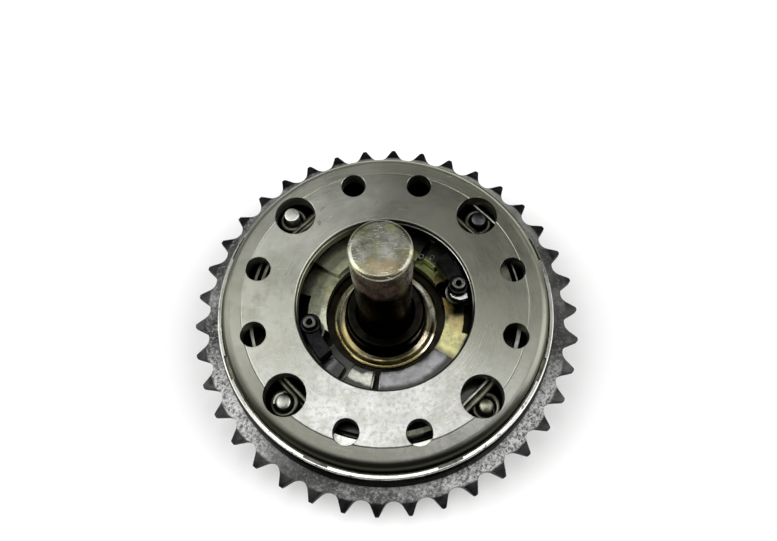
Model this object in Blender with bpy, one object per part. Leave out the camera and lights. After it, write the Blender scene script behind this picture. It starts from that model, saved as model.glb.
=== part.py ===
"""Automatic timing-advance sprocket: a 38-tooth chain wheel on a spring-and-flyweight drum.

The chain turns the drum. Two flyweights inside it swing outwards with speed, and their slots turn
the hub, with its shaft, a few degrees ahead of the drum. Four torsion springs bring them back.
The axis is +Z, and the rear face that the unit stands on is at z = 0.
"""

from math import atan2, cos, hypot, pi, radians, sin

import bmesh
import bpy
from mathutils import Matrix, Vector

MM = 0.001
GAP = 0.3 * MM  # between faces that meet in the real assembly

# Chain wheel: 3/8 inch roller chain
TEETH = 38
CHAIN_PITCH = 9.525 * MM
SEAT_R = 3.2 * MM
PITCH_R = CHAIN_PITCH / (2 * sin(pi / TEETH))
TIP_R = 59.0 * MM
TIP_HALF_WIDTH = 0.5 * MM
FIRST_TOOTH = 2.95
WHEEL_Z = (11.5 * MM, 16.5 * MM)
TOOTH_BEVEL = 1.5 * MM
BEVEL_START_R = 55.2 * MM
BEVEL_SHARE = 0.45

# Drum and cover
DRUM_R = 51.0 * MM
CAVITY_R = 46.2 * MM
SPIGOT_R = 48.4 * MM
MOUTH_R = 48.6 * MM
FLOOR_TOP = 9.6 * MM
RIM_TOP = 25.6 * MM
LEDGE = 22.0 * MM
COVER_TOP = 30.6 * MM
COVER_THICK = 5.0 * MM
COVER_BORE = 26.0 * MM
COVER_FLAT_R = 45.4 * MM
COVER_SIDE_R = 47.8 * MM
COVER_FLANGE_R = 48.3 * MM
LUG_TOP = 23.5 * MM
LUG_R = 49.0 * MM
LUG_HALF = 4.2
LUGS = [22.5 + 45 * k for k in range(8)]
HOLE_CIRCLE = 39.0 * MM
SMALL_HOLE_R = 3.7 * MM
LARGE_HOLE_R = 5.85 * MM
SMALL_HOLES = [a + s for a in (0, 90, 180, 270) for s in (15, -15)]
LARGE_HOLES = [45, 135, 225, 315]

# Rear cover and its screws
REAR_R = 54.0 * MM
REAR_Z = (3.5 * MM, 6.7 * MM)
FOOT_R = (30.0 * MM, 38.0 * MM)
SCREW_CIRCLE = 43.0 * MM
SCREW_ANGLES = [22.5, 112.5, 202.5, 292.5]
SCREW_R = 1.9 * MM
SCREW_HEAD_R = 3.5 * MM

# Hub, shaft and what is on them
JOURNAL_R = 14.0 * MM
HUB_FLANGE_R = 34.0 * MM
HUB_FLANGE_Z = (11.0 * MM, 14.0 * MM)
COLLAR_R = 12.0 * MM
COLLAR_TOP = 22.6 * MM
SHAFT_R = 8.15 * MM
SHAFT_TOP = 70.4 * MM
SHAFT_STEP = 54.6 * MM
SHAFT_SHOULDER = 12.3 * MM
THREAD_R = 5.0 * MM
KEY_WIDTH = 3.0 * MM
KEY_Z = (14.0 * MM, 20.0 * MM)
RING_R = (12.6 * MM, 16.0 * MM)

# Drive posts on the hub
POST_CIRCLE = 22.5 * MM
POST_ANGLE = 15.6
POST_R = 1.95 * MM
POST_TOP = 30.2 * MM
ARM_Z = (21.8 * MM, 28.6 * MM)
ARM_EYE_R = 3.1 * MM
ARM_BAND = (20.5 * MM, 24.7 * MM)
ARM_END = 42.0

# Flyweights. Angles are those of flyweight a; flyweight b is turned by half a turn
PIVOT_CIRCLE = 41.2 * MM
PIVOT_ANGLE = 135
TAIL_POST_CIRCLE = 40.4 * MM
TAIL_POST_ANGLE = 225
PIN_R = 2.2 * MM
PIN_TOP = 27.9 * MM
TAIL_POST_TOP = 26.3 * MM
PLATE_Z = (15.3 * MM, 18.6 * MM)
BLOCK_Z = (18.9 * MM, 21.4 * MM)
WEIGHT_BORE = 18.1 * MM
EYE_R = 4.3 * MM
BLOCK_RIVETS = {
    "nose": [(31.0 * MM, 96), (31.0 * MM, 128)],
    "tail": [(29.4 * MM, 218), (30.0 * MM, 254)],
}
NOSE_ANGLE = 85.4
TAIL_ANGLE = 261.0
HUB_ADVANCE = 8.0
WEIGHT_SWING = 4.5
SLOT_CLEARANCE = 0.5 * MM
WINDOW_R = (21.5 * MM, 29.5 * MM)
WINDOW_ANGLES = (166, 187)
SPRING_PEG = (36.1 * MM, 152.7)
SPRING_PEG_R = 1.2 * MM

# Torsion springs
WIRE_R = 0.8 * MM
COIL_R = 3.5 * MM
COIL_TURNS = 2
COIL_PITCH = 1.85 * MM
COIL_BOTTOM = 20.4 * MM
COIL_STEPS = 12

FINE = 56  # sides of a large turned piece
MEDIUM = 36
SMALL = 16


# ---------------------------------------------------------------- helpers


def clear_scene():
    for obj in list(bpy.data.objects):
        bpy.data.objects.remove(obj)


def material(name, colour, roughness, metallic):
    found = bpy.data.materials.get(name)
    if found:
        return found
    made = bpy.data.materials.new(name)
    made.use_nodes = True
    shader = made.node_tree.nodes["Principled BSDF"]
    shader.inputs["Base Color"].default_value = (*colour, 1)
    shader.inputs["Roughness"].default_value = roughness
    shader.inputs["Metallic"].default_value = metallic
    return made


def black_steel():
    return material("black_steel", (0.035, 0.035, 0.04), 0.42, 0.9)


def turned_steel():
    return material("turned_steel", (0.52, 0.51, 0.47), 0.3, 1.0)


def drum_steel():
    return material("drum_steel", (0.20, 0.19, 0.17), 0.35, 1.0)


def ground_steel():
    return material("ground_steel", (0.62, 0.61, 0.56), 0.22, 1.0)


def oiled_steel():
    return material("oiled_steel", (0.50, 0.46, 0.30), 0.25, 1.0)


def dark_steel():
    return material("dark_steel", (0.06, 0.06, 0.055), 0.35, 0.9)


def spring_steel():
    return material("spring_steel", (0.30, 0.29, 0.26), 0.3, 1.0)


def bronze():
    return material("bronze", (0.46, 0.33, 0.14), 0.32, 1.0)


def at(radius, degrees, z=0.0):
    """A point given by its distance from the axis, its angle and its height."""
    return Vector((radius * cos(radians(degrees)), radius * sin(radians(degrees)), z))


def arc(radius, start, end, steps, centre=(0.0, 0.0)):
    """Points (x, y) along an arc, both ends included."""
    angles = [radians(start + (end - start) * i / steps) for i in range(steps + 1)]
    return [(centre[0] + radius * cos(a), centre[1] + radius * sin(a)) for a in angles]


def add_object(name, bm, finish, smooth=35):
    mesh = bpy.data.meshes.new(name)
    bmesh.ops.recalc_face_normals(bm, faces=bm.faces)
    bm.to_mesh(mesh)
    bm.free()
    mesh.materials.append(finish)
    mesh.shade_smooth()
    mesh.set_sharp_from_angle(angle=radians(smooth))
    obj = bpy.data.objects.new(name, mesh)
    bpy.context.scene.collection.objects.link(obj)
    return obj


def turned_into(bm, profile, sides, centre=(0.0, 0.0)):
    """Adds a turned solid. The profile is a closed loop of (radius, z), which may touch the axis."""
    rings = []
    for radius, z in profile:
        if radius < 1e-9:
            rings.append([bm.verts.new((centre[0], centre[1], z))] * sides)
            continue
        turn = [2 * pi * i / sides for i in range(sides)]
        points = [(centre[0] + radius * cos(a), centre[1] + radius * sin(a), z) for a in turn]
        rings.append([bm.verts.new(point) for point in points])
    for lower, upper in zip(rings, rings[1:] + rings[:1]):
        for i in range(sides):
            j = (i + 1) % sides
            corners = list(dict.fromkeys([lower[i], lower[j], upper[j], upper[i]]))
            if len(corners) > 2:
                bm.faces.new(corners)


def turned(name, profile, finish, sides=FINE, centre=(0.0, 0.0)):
    bm = bmesh.new()
    turned_into(bm, profile, sides, centre)
    return add_object(name, bm, finish)


def tube_profile(inner, outer, bottom, top):
    return [(inner, bottom), (outer, bottom), (outer, top), (inner, top)]


def rod_profile(radius, bottom, top, chamfer=0.0):
    if not chamfer:
        return [(0, bottom), (radius, bottom), (radius, top), (0, top)]
    return [(0, bottom), (radius, bottom), (radius, top - chamfer), (radius - chamfer, top), (0, top)]


def prism_into(bm, outline, bottom, top):
    low = [bm.verts.new((x, y, bottom)) for x, y in outline]
    high = [bm.verts.new((x, y, top)) for x, y in outline]
    bm.faces.new(reversed(low))
    bm.faces.new(high)
    for i in range(len(outline)):
        j = (i + 1) % len(outline)
        bm.faces.new((low[i], low[j], high[j], high[i]))


def prism(name, outline, bottom, top, finish):
    bm = bmesh.new()
    prism_into(bm, outline, bottom, top)
    return add_object(name, bm, finish)


def sector(inner, outer, start, end, steps):
    """The outline of a piece of a ring."""
    return arc(outer, start, end, steps) + arc(inner, end, start, steps)


def rectangle(width, low, high):
    """An outline of that width about the Y axis, from y = low to y = high."""
    return [(-width / 2, low), (width / 2, low), (width / 2, high), (-width / 2, high)]


def boolean(obj, bm, operation="DIFFERENCE"):
    """Cuts the shapes in bm out of obj, or joins them to it, with a hidden helper object."""
    helper = add_object(f"{obj.name}_{operation.lower()}_{len(obj.modifiers)}", bm, dark_steel())
    helper.hide_render = True
    helper.display_type = "WIRE"
    modifier = obj.modifiers.new(helper.name, "BOOLEAN")
    modifier.operation = operation
    modifier.solver = "EXACT"
    modifier.object = helper
    return obj


def cut_rods(obj, places, radius, bottom, top, sides=SMALL):
    bm = bmesh.new()
    for place in places:
        turned_into(bm, rod_profile(radius, bottom, top), sides, (place.x, place.y))
    return boolean(obj, bm)


def half_turn(obj, name):
    """A copy of obj with its helpers, turned by half a turn about the axis."""
    turn = Matrix.Rotation(pi, 4, "Z")
    copy = obj.copy()
    copy.data = obj.data.copy()
    copy.name = name
    bpy.context.scene.collection.objects.link(copy)
    copy.matrix_world = turn @ obj.matrix_world
    for modifier in copy.modifiers:
        helper = modifier.object.copy()
        helper.matrix_world = turn @ modifier.object.matrix_world
        bpy.context.scene.collection.objects.link(helper)
        modifier.object = helper
    return copy


# ---------------------------------------------------------------- drum side


def tooth_outline(share=1.0):
    """The chain wheel's outline. Beyond BEVEL_START_R the teeth keep that share of their height."""
    step = 360 / TEETH
    tip_angle = atan2(TIP_HALF_WIDTH, TIP_R) * 180 / pi
    outline = []
    for k in range(TEETH):
        tip = FIRST_TOOTH + step * k
        seat = at(PITCH_R, tip + step / 2)
        points = [at(TIP_R, tip - tip_angle), at(TIP_R, tip + tip_angle)]
        for turn in (60, 20, -20, -60):
            points.append(seat + at(SEAT_R, tip + step / 2 + 180 + turn))
        for p in points:
            radius = hypot(p.x, p.y)
            if radius > BEVEL_START_R:
                p = p * ((BEVEL_START_R + (radius - BEVEL_START_R) * share) / radius)
            outline.append((p.x, p.y))
    return outline


def make_sprocket():
    bm = bmesh.new()
    bottom, top = WHEEL_Z
    full, short = tooth_outline(), tooth_outline(BEVEL_SHARE)
    layers = [(short, bottom), (full, bottom + TOOTH_BEVEL), (full, top - TOOTH_BEVEL), (short, top)]
    rings = [[bm.verts.new((x, y, z)) for x, y in outline] for outline, z in layers]
    count = len(full)
    for lower, upper in zip(rings, rings[1:]):
        for i in range(count):
            j = (i + 1) % count
            bm.faces.new((lower[i], lower[j], upper[j], upper[i]))
    bm.faces.new(reversed(rings[0]))
    bm.faces.new(rings[-1])
    wheel = add_object("sprocket", bm, black_steel())
    bore = bmesh.new()
    turned_into(bore, rod_profile(SPIGOT_R + GAP, bottom - 2 * MM, top + 2 * MM), FINE)
    return boolean(wheel, bore)


def make_drum():
    boss_r = 21.5 * MM
    groove_r = 49.6 * MM
    boss_bottom = 5.0 * MM
    base_bottom = 7.0 * MM
    profile = [
        (boss_r, boss_bottom),
        (boss_r, base_bottom),
        (SPIGOT_R, base_bottom),
        (SPIGOT_R, WHEEL_Z[1] + GAP),
        (DRUM_R, WHEEL_Z[1] + GAP),
        (50.4 * MM, 22.6 * MM),
        (49.5 * MM, RIM_TOP),
        (MOUTH_R, RIM_TOP),
        (MOUTH_R, 25.0 * MM),
        (groove_r, 25.0 * MM),
        (groove_r, 23.7 * MM),
        (MOUTH_R, 23.7 * MM),
        (MOUTH_R, LEDGE),
        (CAVITY_R, LEDGE),
        (CAVITY_R, FLOOR_TOP),
        (JOURNAL_R + 4.3 * MM, FLOOR_TOP),
        (JOURNAL_R + 4.3 * MM, boss_bottom),
    ]
    drum = turned("drum", profile, drum_steel())
    notches = bmesh.new()
    for angle in LUGS:
        outline = sector(MOUTH_R - 1 * MM, LUG_R + GAP, angle - LUG_HALF - 0.4, angle + LUG_HALF + 0.4, 4)
        prism_into(notches, outline, LEDGE + 0.1 * MM, RIM_TOP + 1 * MM)
    boolean(drum, notches)
    places = [at(SCREW_CIRCLE, a) for a in SCREW_ANGLES]
    cut_rods(drum, places, SCREW_R + GAP, base_bottom - 1 * MM, FLOOR_TOP + 1 * MM)
    pins = [at(PIVOT_CIRCLE, PIVOT_ANGLE + t) for t in (0, 180)]
    pins += [at(TAIL_POST_CIRCLE, TAIL_POST_ANGLE + t) for t in (0, 180)]
    return cut_rods(drum, pins, PIN_R - 0.4 * MM + GAP, base_bottom - 1 * MM, FLOOR_TOP + 1 * MM)


def make_cover_plate():
    underside = COVER_TOP - COVER_THICK
    skirt_r = CAVITY_R + 0.2 * MM
    shoulder = arc(COVER_SIDE_R - COVER_FLAT_R, 0, 90, 4, (COVER_FLAT_R, COVER_TOP - 2.4 * MM))
    profile = [
        (skirt_r, LEDGE + GAP),
        (COVER_FLANGE_R, LEDGE + GAP),
        (COVER_FLANGE_R, LUG_TOP),
        (COVER_SIDE_R, LUG_TOP),
        *shoulder,
        (COVER_BORE + 0.4 * MM, COVER_TOP),
        (COVER_BORE, COVER_TOP - 0.4 * MM),
        (COVER_BORE, underside),
        (skirt_r, underside),
    ]
    cover = turned("cover_plate", profile, turned_steel())
    lugs = bmesh.new()
    for angle in LUGS:
        outline = sector(COVER_SIDE_R - 0.6 * MM, LUG_R, angle - LUG_HALF, angle + LUG_HALF, 4)
        prism_into(lugs, outline, LEDGE + GAP + 0.1 * MM, LUG_TOP - 0.1 * MM)
    boolean(cover, lugs, "UNION")
    holes = bmesh.new()
    for angles, radius in ((SMALL_HOLES, SMALL_HOLE_R), (LARGE_HOLES, LARGE_HOLE_R)):
        for angle in angles:
            place = at(HOLE_CIRCLE, angle)
            through = rod_profile(radius, underside - 1 * MM, COVER_TOP + 1 * MM)
            turned_into(holes, through, 20, (place.x, place.y))
    return boolean(cover, holes)


def make_snap_ring():
    outline = sector(48.15 * MM, 49.3 * MM, 8, 352, FINE)
    return prism("cover_snap_ring", outline, 23.95 * MM, 24.75 * MM, spring_steel())


def make_rear_cover():
    inner_r = 24.0 * MM
    rim_r = SPIGOT_R + 0.4 * MM
    chamfer = 0.8 * MM
    profile = [
        (FOOT_R[0], 0),
        (FOOT_R[1] - chamfer, 0),
        (FOOT_R[1], chamfer),
        (FOOT_R[1], REAR_Z[0]),
        (REAR_R - chamfer, REAR_Z[0]),
        (REAR_R, REAR_Z[0] + chamfer),
        (REAR_R, WHEEL_Z[0] - GAP),
        (rim_r, WHEEL_Z[0] - GAP),
        (rim_r, REAR_Z[1]),
        (inner_r, REAR_Z[1]),
        (inner_r, REAR_Z[0]),
        (FOOT_R[0], REAR_Z[0]),
    ]
    cover = turned("rear_cover", profile, drum_steel())
    places = [at(SCREW_CIRCLE, a) for a in SCREW_ANGLES]
    cut_rods(cover, places, SCREW_R + GAP, REAR_Z[0] - 1 * MM, REAR_Z[1] + 1 * MM)
    dowel = at(SCREW_CIRCLE, 0)
    return cut_rods(cover, [dowel], 2.0 * MM + GAP, REAR_Z[0] - 1 * MM, REAR_Z[1] + 1 * MM)


def make_rear_screws():
    head_bottom = 0.7 * MM
    head_top = REAR_Z[0] - GAP
    profile = [
        (0, head_bottom),
        (SCREW_HEAD_R - 0.4 * MM, head_bottom),
        (SCREW_HEAD_R, head_bottom + 0.4 * MM),
        (SCREW_HEAD_R, head_top),
        (SCREW_R, head_top),
        (SCREW_R, FLOOR_TOP - 0.6 * MM),
        (0, FLOOR_TOP - 0.6 * MM),
    ]
    for number, angle in enumerate(SCREW_ANGLES, 1):
        place = at(SCREW_CIRCLE, angle)
        screw = turned(f"rear_screw_{number}", profile, dark_steel(), SMALL, (place.x, place.y))
        socket = bmesh.new()
        hexagon = arc(1.75 * MM, 0, 300, 5, (place.x, place.y))
        prism_into(socket, hexagon, head_bottom - 1 * MM, head_bottom + 1.5 * MM)
        boolean(screw, socket)


def make_locating_dowel():
    place = at(SCREW_CIRCLE, 0)
    profile = rod_profile(2.0 * MM, REAR_Z[0] - 1.2 * MM, REAR_Z[1] - GAP, 0.3 * MM)
    return turned("locating_dowel", profile, ground_steel(), SMALL, (place.x, place.y))


def make_bearings():
    inner = JOURNAL_R + GAP
    turned("hub_bush", tube_profile(inner, JOURNAL_R + 4.0 * MM, 5.2 * MM, 9.4 * MM), bronze(), MEDIUM)
    washer = tube_profile(inner, 20.5 * MM, FLOOR_TOP + GAP, HUB_FLANGE_Z[0] - GAP)
    turned("rear_thrust_washer", washer, bronze(), MEDIUM)


def make_pin(name, place, top):
    """A pin riveted in the drum's floor, with a reduced shank there."""
    shank = PIN_R - 0.4 * MM
    profile = [
        (0, 7.4 * MM),
        (shank, 7.4 * MM),
        (shank, FLOOR_TOP + GAP),
        (PIN_R, FLOOR_TOP + GAP),
        (PIN_R, top - 0.4 * MM),
        (PIN_R - 0.4 * MM, top),
        (0, top),
    ]
    return turned(name, profile, ground_steel(), SMALL, (place.x, place.y))


def make_pins():
    for letter, turn in (("a", 0), ("b", 180)):
        make_pin(f"pivot_pin_{letter}", at(PIVOT_CIRCLE, PIVOT_ANGLE + turn), PIN_TOP)
        make_pin(f"tail_post_{letter}", at(TAIL_POST_CIRCLE, TAIL_POST_ANGLE + turn), TAIL_POST_TOP)


def torsion_spring(name, centre, inboard, weight_leg, wall_leg):
    """A coil around a pin. Both legs leave it on the side towards the axis, which is at the angle inboard."""
    steps = COIL_STEPS * COIL_TURNS
    coil = []
    for i in range(steps + 1):
        turn = i / COIL_STEPS
        coil.append(centre + at(COIL_R, inboard + 360 * turn, COIL_BOTTOM + COIL_PITCH * turn))
    along = at(1, inboard - 90)
    points = [coil[0] + along * weight_leg, coil[0] + along * weight_leg / 2, *coil]
    points += [coil[-1] - along * wall_leg / 2, coil[-1] - along * wall_leg]
    curve = bpy.data.curves.new(name, "CURVE")
    curve.dimensions = "3D"
    curve.bevel_depth = WIRE_R
    curve.bevel_resolution = 1
    curve.use_fill_caps = True
    spline = curve.splines.new("POLY")
    spline.points.add(len(points) - 1)
    for point, place in zip(spline.points, points):
        point.co = (*place, 1)
    curve.materials.append(spring_steel())
    obj = bpy.data.objects.new(name, curve)
    bpy.context.scene.collection.objects.link(obj)


def make_springs():
    """The lower leg of each spring reaches for the flyweight, and the upper one lies against the wall."""
    for letter, turn in (("a", 0), ("b", 180)):
        pivot_angle, post_angle = PIVOT_ANGLE + turn, TAIL_POST_ANGLE + turn
        pivot, post = at(PIVOT_CIRCLE, pivot_angle), at(TAIL_POST_CIRCLE, post_angle)
        torsion_spring(f"pivot_spring_{letter}", pivot, pivot_angle + 180, 14 * MM, 24 * MM)
        torsion_spring(f"tail_spring_{letter}", post, post_angle + 180, 7 * MM, 25 * MM)


# ---------------------------------------------------------------- hub side


def make_hub():
    bore, thread_bore = SHAFT_R + GAP, THREAD_R + GAP
    groove_r = 13.2 * MM
    recess_r, recess_top = 11.4 * MM, 9.0 * MM
    rear = 2.4 * MM
    profile = [
        (recess_r, rear),
        (JOURNAL_R, rear),
        (JOURNAL_R, 3.4 * MM),
        (groove_r, 3.4 * MM),
        (groove_r, 4.7 * MM),
        (JOURNAL_R, 4.7 * MM),
        (JOURNAL_R, HUB_FLANGE_Z[0]),
        (HUB_FLANGE_R, HUB_FLANGE_Z[0]),
        (HUB_FLANGE_R, HUB_FLANGE_Z[1]),
        (COLLAR_R, HUB_FLANGE_Z[1]),
        (COLLAR_R, COLLAR_TOP - 0.7 * MM),
        (COLLAR_R - 0.7 * MM, COLLAR_TOP),
        (bore, COLLAR_TOP),
        (bore, SHAFT_SHOULDER - GAP),
        (thread_bore, SHAFT_SHOULDER - GAP),
        (thread_bore, recess_top),
        (recess_r, recess_top),
    ]
    hub = turned("hub", profile, dark_steel(), MEDIUM)
    keyway = bmesh.new()
    keyway_outline = rectangle(KEY_WIDTH + 2 * GAP, 6 * MM, 10.1 * MM)
    prism_into(keyway, keyway_outline, KEY_Z[0] - GAP, COLLAR_TOP + 1 * MM)
    boolean(hub, keyway)
    posts = [at(POST_CIRCLE, POST_ANGLE + t) for t in (0, 180)]
    return cut_rods(hub, posts, 1.5 * MM + GAP, HUB_FLANGE_Z[0] - 1 * MM, HUB_FLANGE_Z[1] + 1 * MM)


def make_shaft():
    lower_r = SHAFT_R - 0.2 * MM
    edge = arc(1.3 * MM, 0, 90, 4, (SHAFT_R - 1.3 * MM, SHAFT_TOP - 1.3 * MM))
    profile = [
        (0, 1.4 * MM),
        (THREAD_R - 0.5 * MM, 1.4 * MM),
        (THREAD_R, 1.9 * MM),
        (THREAD_R, SHAFT_SHOULDER),
        (SHAFT_R, SHAFT_SHOULDER),
        (SHAFT_R, COLLAR_TOP + 1.5 * MM),
        (lower_r, COLLAR_TOP + 1.7 * MM),
        (lower_r, SHAFT_STEP),
        (SHAFT_R, SHAFT_STEP + 0.2 * MM),
        *edge,
        (0, SHAFT_TOP),
    ]
    shaft = turned("shaft", profile, ground_steel(), MEDIUM)
    keyway = bmesh.new()
    outline = rectangle(KEY_WIDTH + 2 * GAP, 6.3 * MM, 12 * MM)
    prism_into(keyway, outline, KEY_Z[0] - GAP, KEY_Z[1] + GAP)
    return boolean(shaft, keyway)


def make_hub_fittings():
    outline = rectangle(KEY_WIDTH, 6.6 * MM, 9.8 * MM)
    prism("hub_key", outline, KEY_Z[0], KEY_Z[1], dark_steel())
    washer = tube_profile(THREAD_R + GAP, 10.8 * MM, 7.5 * MM, 8.7 * MM)
    turned("shaft_washer", washer, ground_steel(), MEDIUM)
    nut = prism("shaft_nut", arc(9.8 * MM, 0, 300, 5), 2.6 * MM, 7.2 * MM, dark_steel())
    cut_rods(nut, [Vector((0, 0, 0))], THREAD_R + GAP, 1 * MM, 9 * MM)
    circlip = sector(13.5 * MM, 17.0 * MM, 30, 330, 30)
    prism("hub_circlip", circlip, 3.7 * MM, 4.4 * MM, spring_steel())
    ring = [
        (RING_R[0], HUB_FLANGE_Z[1] + GAP),
        (RING_R[1], HUB_FLANGE_Z[1] + GAP),
        (RING_R[1], 14.8 * MM),
        (RING_R[1] - 0.3 * MM, 15.0 * MM),
        (RING_R[0], 15.0 * MM),
    ]
    turned("thrust_ring", ring, bronze(), MEDIUM)


def make_drive_post(letter, turn):
    place = at(POST_CIRCLE, POST_ANGLE + turn)
    foot = HUB_FLANGE_Z[1] + GAP
    hole_r, hole_bottom = 0.85 * MM, POST_TOP - 6 * MM
    profile = [
        (0, HUB_FLANGE_Z[0] + GAP),
        (1.5 * MM, HUB_FLANGE_Z[0] + GAP),
        (1.5 * MM, foot),
        (POST_R, foot),
        (POST_R, POST_TOP - 0.3 * MM),
        (POST_R - 0.3 * MM, POST_TOP),
        (hole_r, POST_TOP),
        (hole_r, hole_bottom),
        (0, hole_bottom),
    ]
    turned(f"drive_post_{letter}", profile, spring_steel(), SMALL, (place.x, place.y))
    clip = bmesh.new()
    gap_half = 35
    centre = (place.x, place.y)
    facing = POST_ANGLE + turn + 20
    inner = arc(POST_R + GAP, facing + gap_half, facing + 360 - gap_half, 16, centre)
    outer = arc(3.5 * MM, facing + 360 - gap_half, facing + gap_half, 16, centre)
    prism_into(clip, inner + outer, 20.6 * MM, 21.5 * MM)
    add_object(f"post_clip_{letter}", clip, ground_steel())


def make_post_arm(letter, turn):
    """The arm that steadies the top of a drive post: its tail follows the cover's bore."""
    bottom, top = ARM_Z
    place = at(POST_CIRCLE, POST_ANGLE + turn)
    eye = [(0, bottom), (ARM_EYE_R, bottom), (ARM_EYE_R, top), (0, top)]
    arm = turned(f"post_arm_{letter}", eye, dark_steel(), 24, (place.x, place.y))
    band = bmesh.new()
    start, end = POST_ANGLE + turn + 3, ARM_END + turn
    prism_into(band, sector(*ARM_BAND, start, end, 8), bottom + 0.2 * MM, top - 0.6 * MM)
    boolean(arm, band, "UNION")
    return cut_rods(arm, [place], POST_R + GAP, bottom - 1 * MM, top + 1 * MM)


# ---------------------------------------------------------------- flyweights


def turned_about(point, centre, degrees):
    """A point turned about a vertical line through centre."""
    return centre + Matrix.Rotation(radians(degrees), 3, "Z") @ (point - centre)


def post_in_weight_frame(share):
    """Where flyweight a sees its drive post, when the mechanism has moved by that share of its range."""
    axis = Vector((0, 0, 0))
    post = turned_about(at(POST_CIRCLE, POST_ANGLE + 180), axis, HUB_ADVANCE * share)
    return turned_about(post, at(PIVOT_CIRCLE, PIVOT_ANGLE), WEIGHT_SWING * share)


def weight_plate_outline():
    pivot = at(PIVOT_CIRCLE, PIVOT_ANGLE)
    reach = 7.5
    eye = arc(EYE_R, PIVOT_ANGLE - 100, PIVOT_ANGLE + 100, 12, (pivot.x, pivot.y))
    outer = arc(39.5 * MM, NOSE_ANGLE, PIVOT_ANGLE - reach, 8)
    outer += eye
    outer += arc(40.2 * MM, PIVOT_ANGLE + reach, 204, 10)
    outer += arc(32.6 * MM, 213, 241, 5)
    outer += arc(38.5 * MM, 247, TAIL_ANGLE, 4)
    return outer + arc(WEIGHT_BORE, TAIL_ANGLE, NOSE_ANGLE, 26)


def make_weight_plate():
    bottom, top = PLATE_Z
    plate = prism("weight_plate_a", weight_plate_outline(), bottom, top, oiled_steel())
    cut_rods(plate, [at(PIVOT_CIRCLE, PIVOT_ANGLE)], 3.4 * MM + GAP, bottom - 1 * MM, top + 1 * MM, 24)
    slot = bmesh.new()
    start, end = post_in_weight_frame(0), post_in_weight_frame(1)
    along = atan2(end.y - start.y, end.x - start.x) * 180 / pi
    outline = arc(POST_R + SLOT_CLEARANCE, along - 90, along + 90, 8, (end.x, end.y))
    outline += arc(POST_R + SLOT_CLEARANCE, along + 90, along + 270, 8, (start.x, start.y))
    prism_into(slot, outline, bottom - 1 * MM, top + 1 * MM)
    boolean(plate, slot)
    window = bmesh.new()
    prism_into(window, sector(*WINDOW_R, *WINDOW_ANGLES, 6), bottom - 1 * MM, top + 1 * MM)
    return boolean(plate, window)


def nose_block_outline():
    """The block's rounded end stands between the pivot and the drive post."""
    inner, outer, end, bulge = 18.5 * MM, 35.8 * MM, 141.0, 3.5
    steps = 8
    outline = arc(outer, NOSE_ANGLE + 1.5, end, 10)
    for i in range(1, steps):
        share = i / steps
        radius = outer + (inner - outer) * share
        point = at(radius, end + bulge * sin(pi * share))
        outline.append((point.x, point.y))
    return outline + arc(inner, end, NOSE_ANGLE + 1.5, 10)


def tail_block_outline():
    """Two lobes reach in towards the hub, with a notch between them."""
    outline = arc(31.8 * MM, 208, 241, 6)
    outline += arc(37.8 * MM, 247, TAIL_ANGLE - 0.8, 4)
    outline += arc(18.5 * MM, TAIL_ANGLE - 0.8, 241, 4)
    outline += arc(27.0 * MM, 240.2, 236.8, 2)
    outline += arc(20.5 * MM, 236, 223, 3)
    return outline + arc(27.0 * MM, 221, 208, 3)


def make_weight_blocks():
    bottom, top = BLOCK_Z
    prism("nose_block_a", nose_block_outline(), bottom, top, ground_steel())
    prism("tail_block_a", tail_block_outline(), bottom, top, ground_steel())


def make_weight_fittings():
    pivot = at(PIVOT_CIRCLE, PIVOT_ANGLE)
    bush = tube_profile(PIN_R + GAP, 3.4 * MM, PLATE_Z[0], PLATE_Z[1] + 0.3 * MM)
    turned("pivot_bush_a", bush, bronze(), 24, (pivot.x, pivot.y))
    peg = at(*SPRING_PEG)
    shank, foot, head = SPRING_PEG_R - 0.3 * MM, PLATE_Z[1] + GAP, 22.0 * MM
    profile = [(0, PLATE_Z[0]), (shank, PLATE_Z[0]), (shank, foot)]
    profile += [(SPRING_PEG_R, foot), (SPRING_PEG_R, head), (0, head)]
    turned("spring_peg_a", profile, ground_steel(), 16, (peg.x, peg.y))
    cut_rods(bpy.data.objects["weight_plate_a"], [peg], SPRING_PEG_R, PLATE_Z[0] - 1 * MM, foot + 1 * MM, 16)
    for block, places in BLOCK_RIVETS.items():
        for number, place in enumerate(places, 1):
            spot = at(*place)
            turned(f"{block}_rivet_{number}_a", rivet_profile(), ground_steel(), 16, (spot.x, spot.y))


def rivet_profile():
    """A rivet flush under the plate, with a low round head on the block."""
    radius, head_r, top = 1.3 * MM, 2.1 * MM, BLOCK_Z[1] + GAP
    return [
        (0, PLATE_Z[0] + GAP),
        (radius, PLATE_Z[0] + GAP),
        (radius, top),
        (head_r, top),
        (head_r * 0.7, top + 0.7 * MM),
        (0, top + 0.9 * MM),
    ]


def make_flyweights():
    make_weight_plate()
    make_weight_blocks()
    make_weight_fittings()
    hole_r = 1.3 * MM + GAP
    low, high = PLATE_Z[0] - 1 * MM, BLOCK_Z[1] + 1 * MM
    names = ["weight_plate", "pivot_bush", "spring_peg"]
    for block, places in BLOCK_RIVETS.items():
        holes = [at(*place) for place in places]
        for name in ("weight_plate_a", f"{block}_block_a"):
            cut_rods(bpy.data.objects[name], holes, hole_r, low, high, 16)
        names += [f"{block}_block", f"{block}_rivet_1", f"{block}_rivet_2"]
    for name in names:
        half_turn(bpy.data.objects[f"{name}_a"], f"{name}_b")


# ---------------------------------------------------------------- the whole unit


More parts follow.
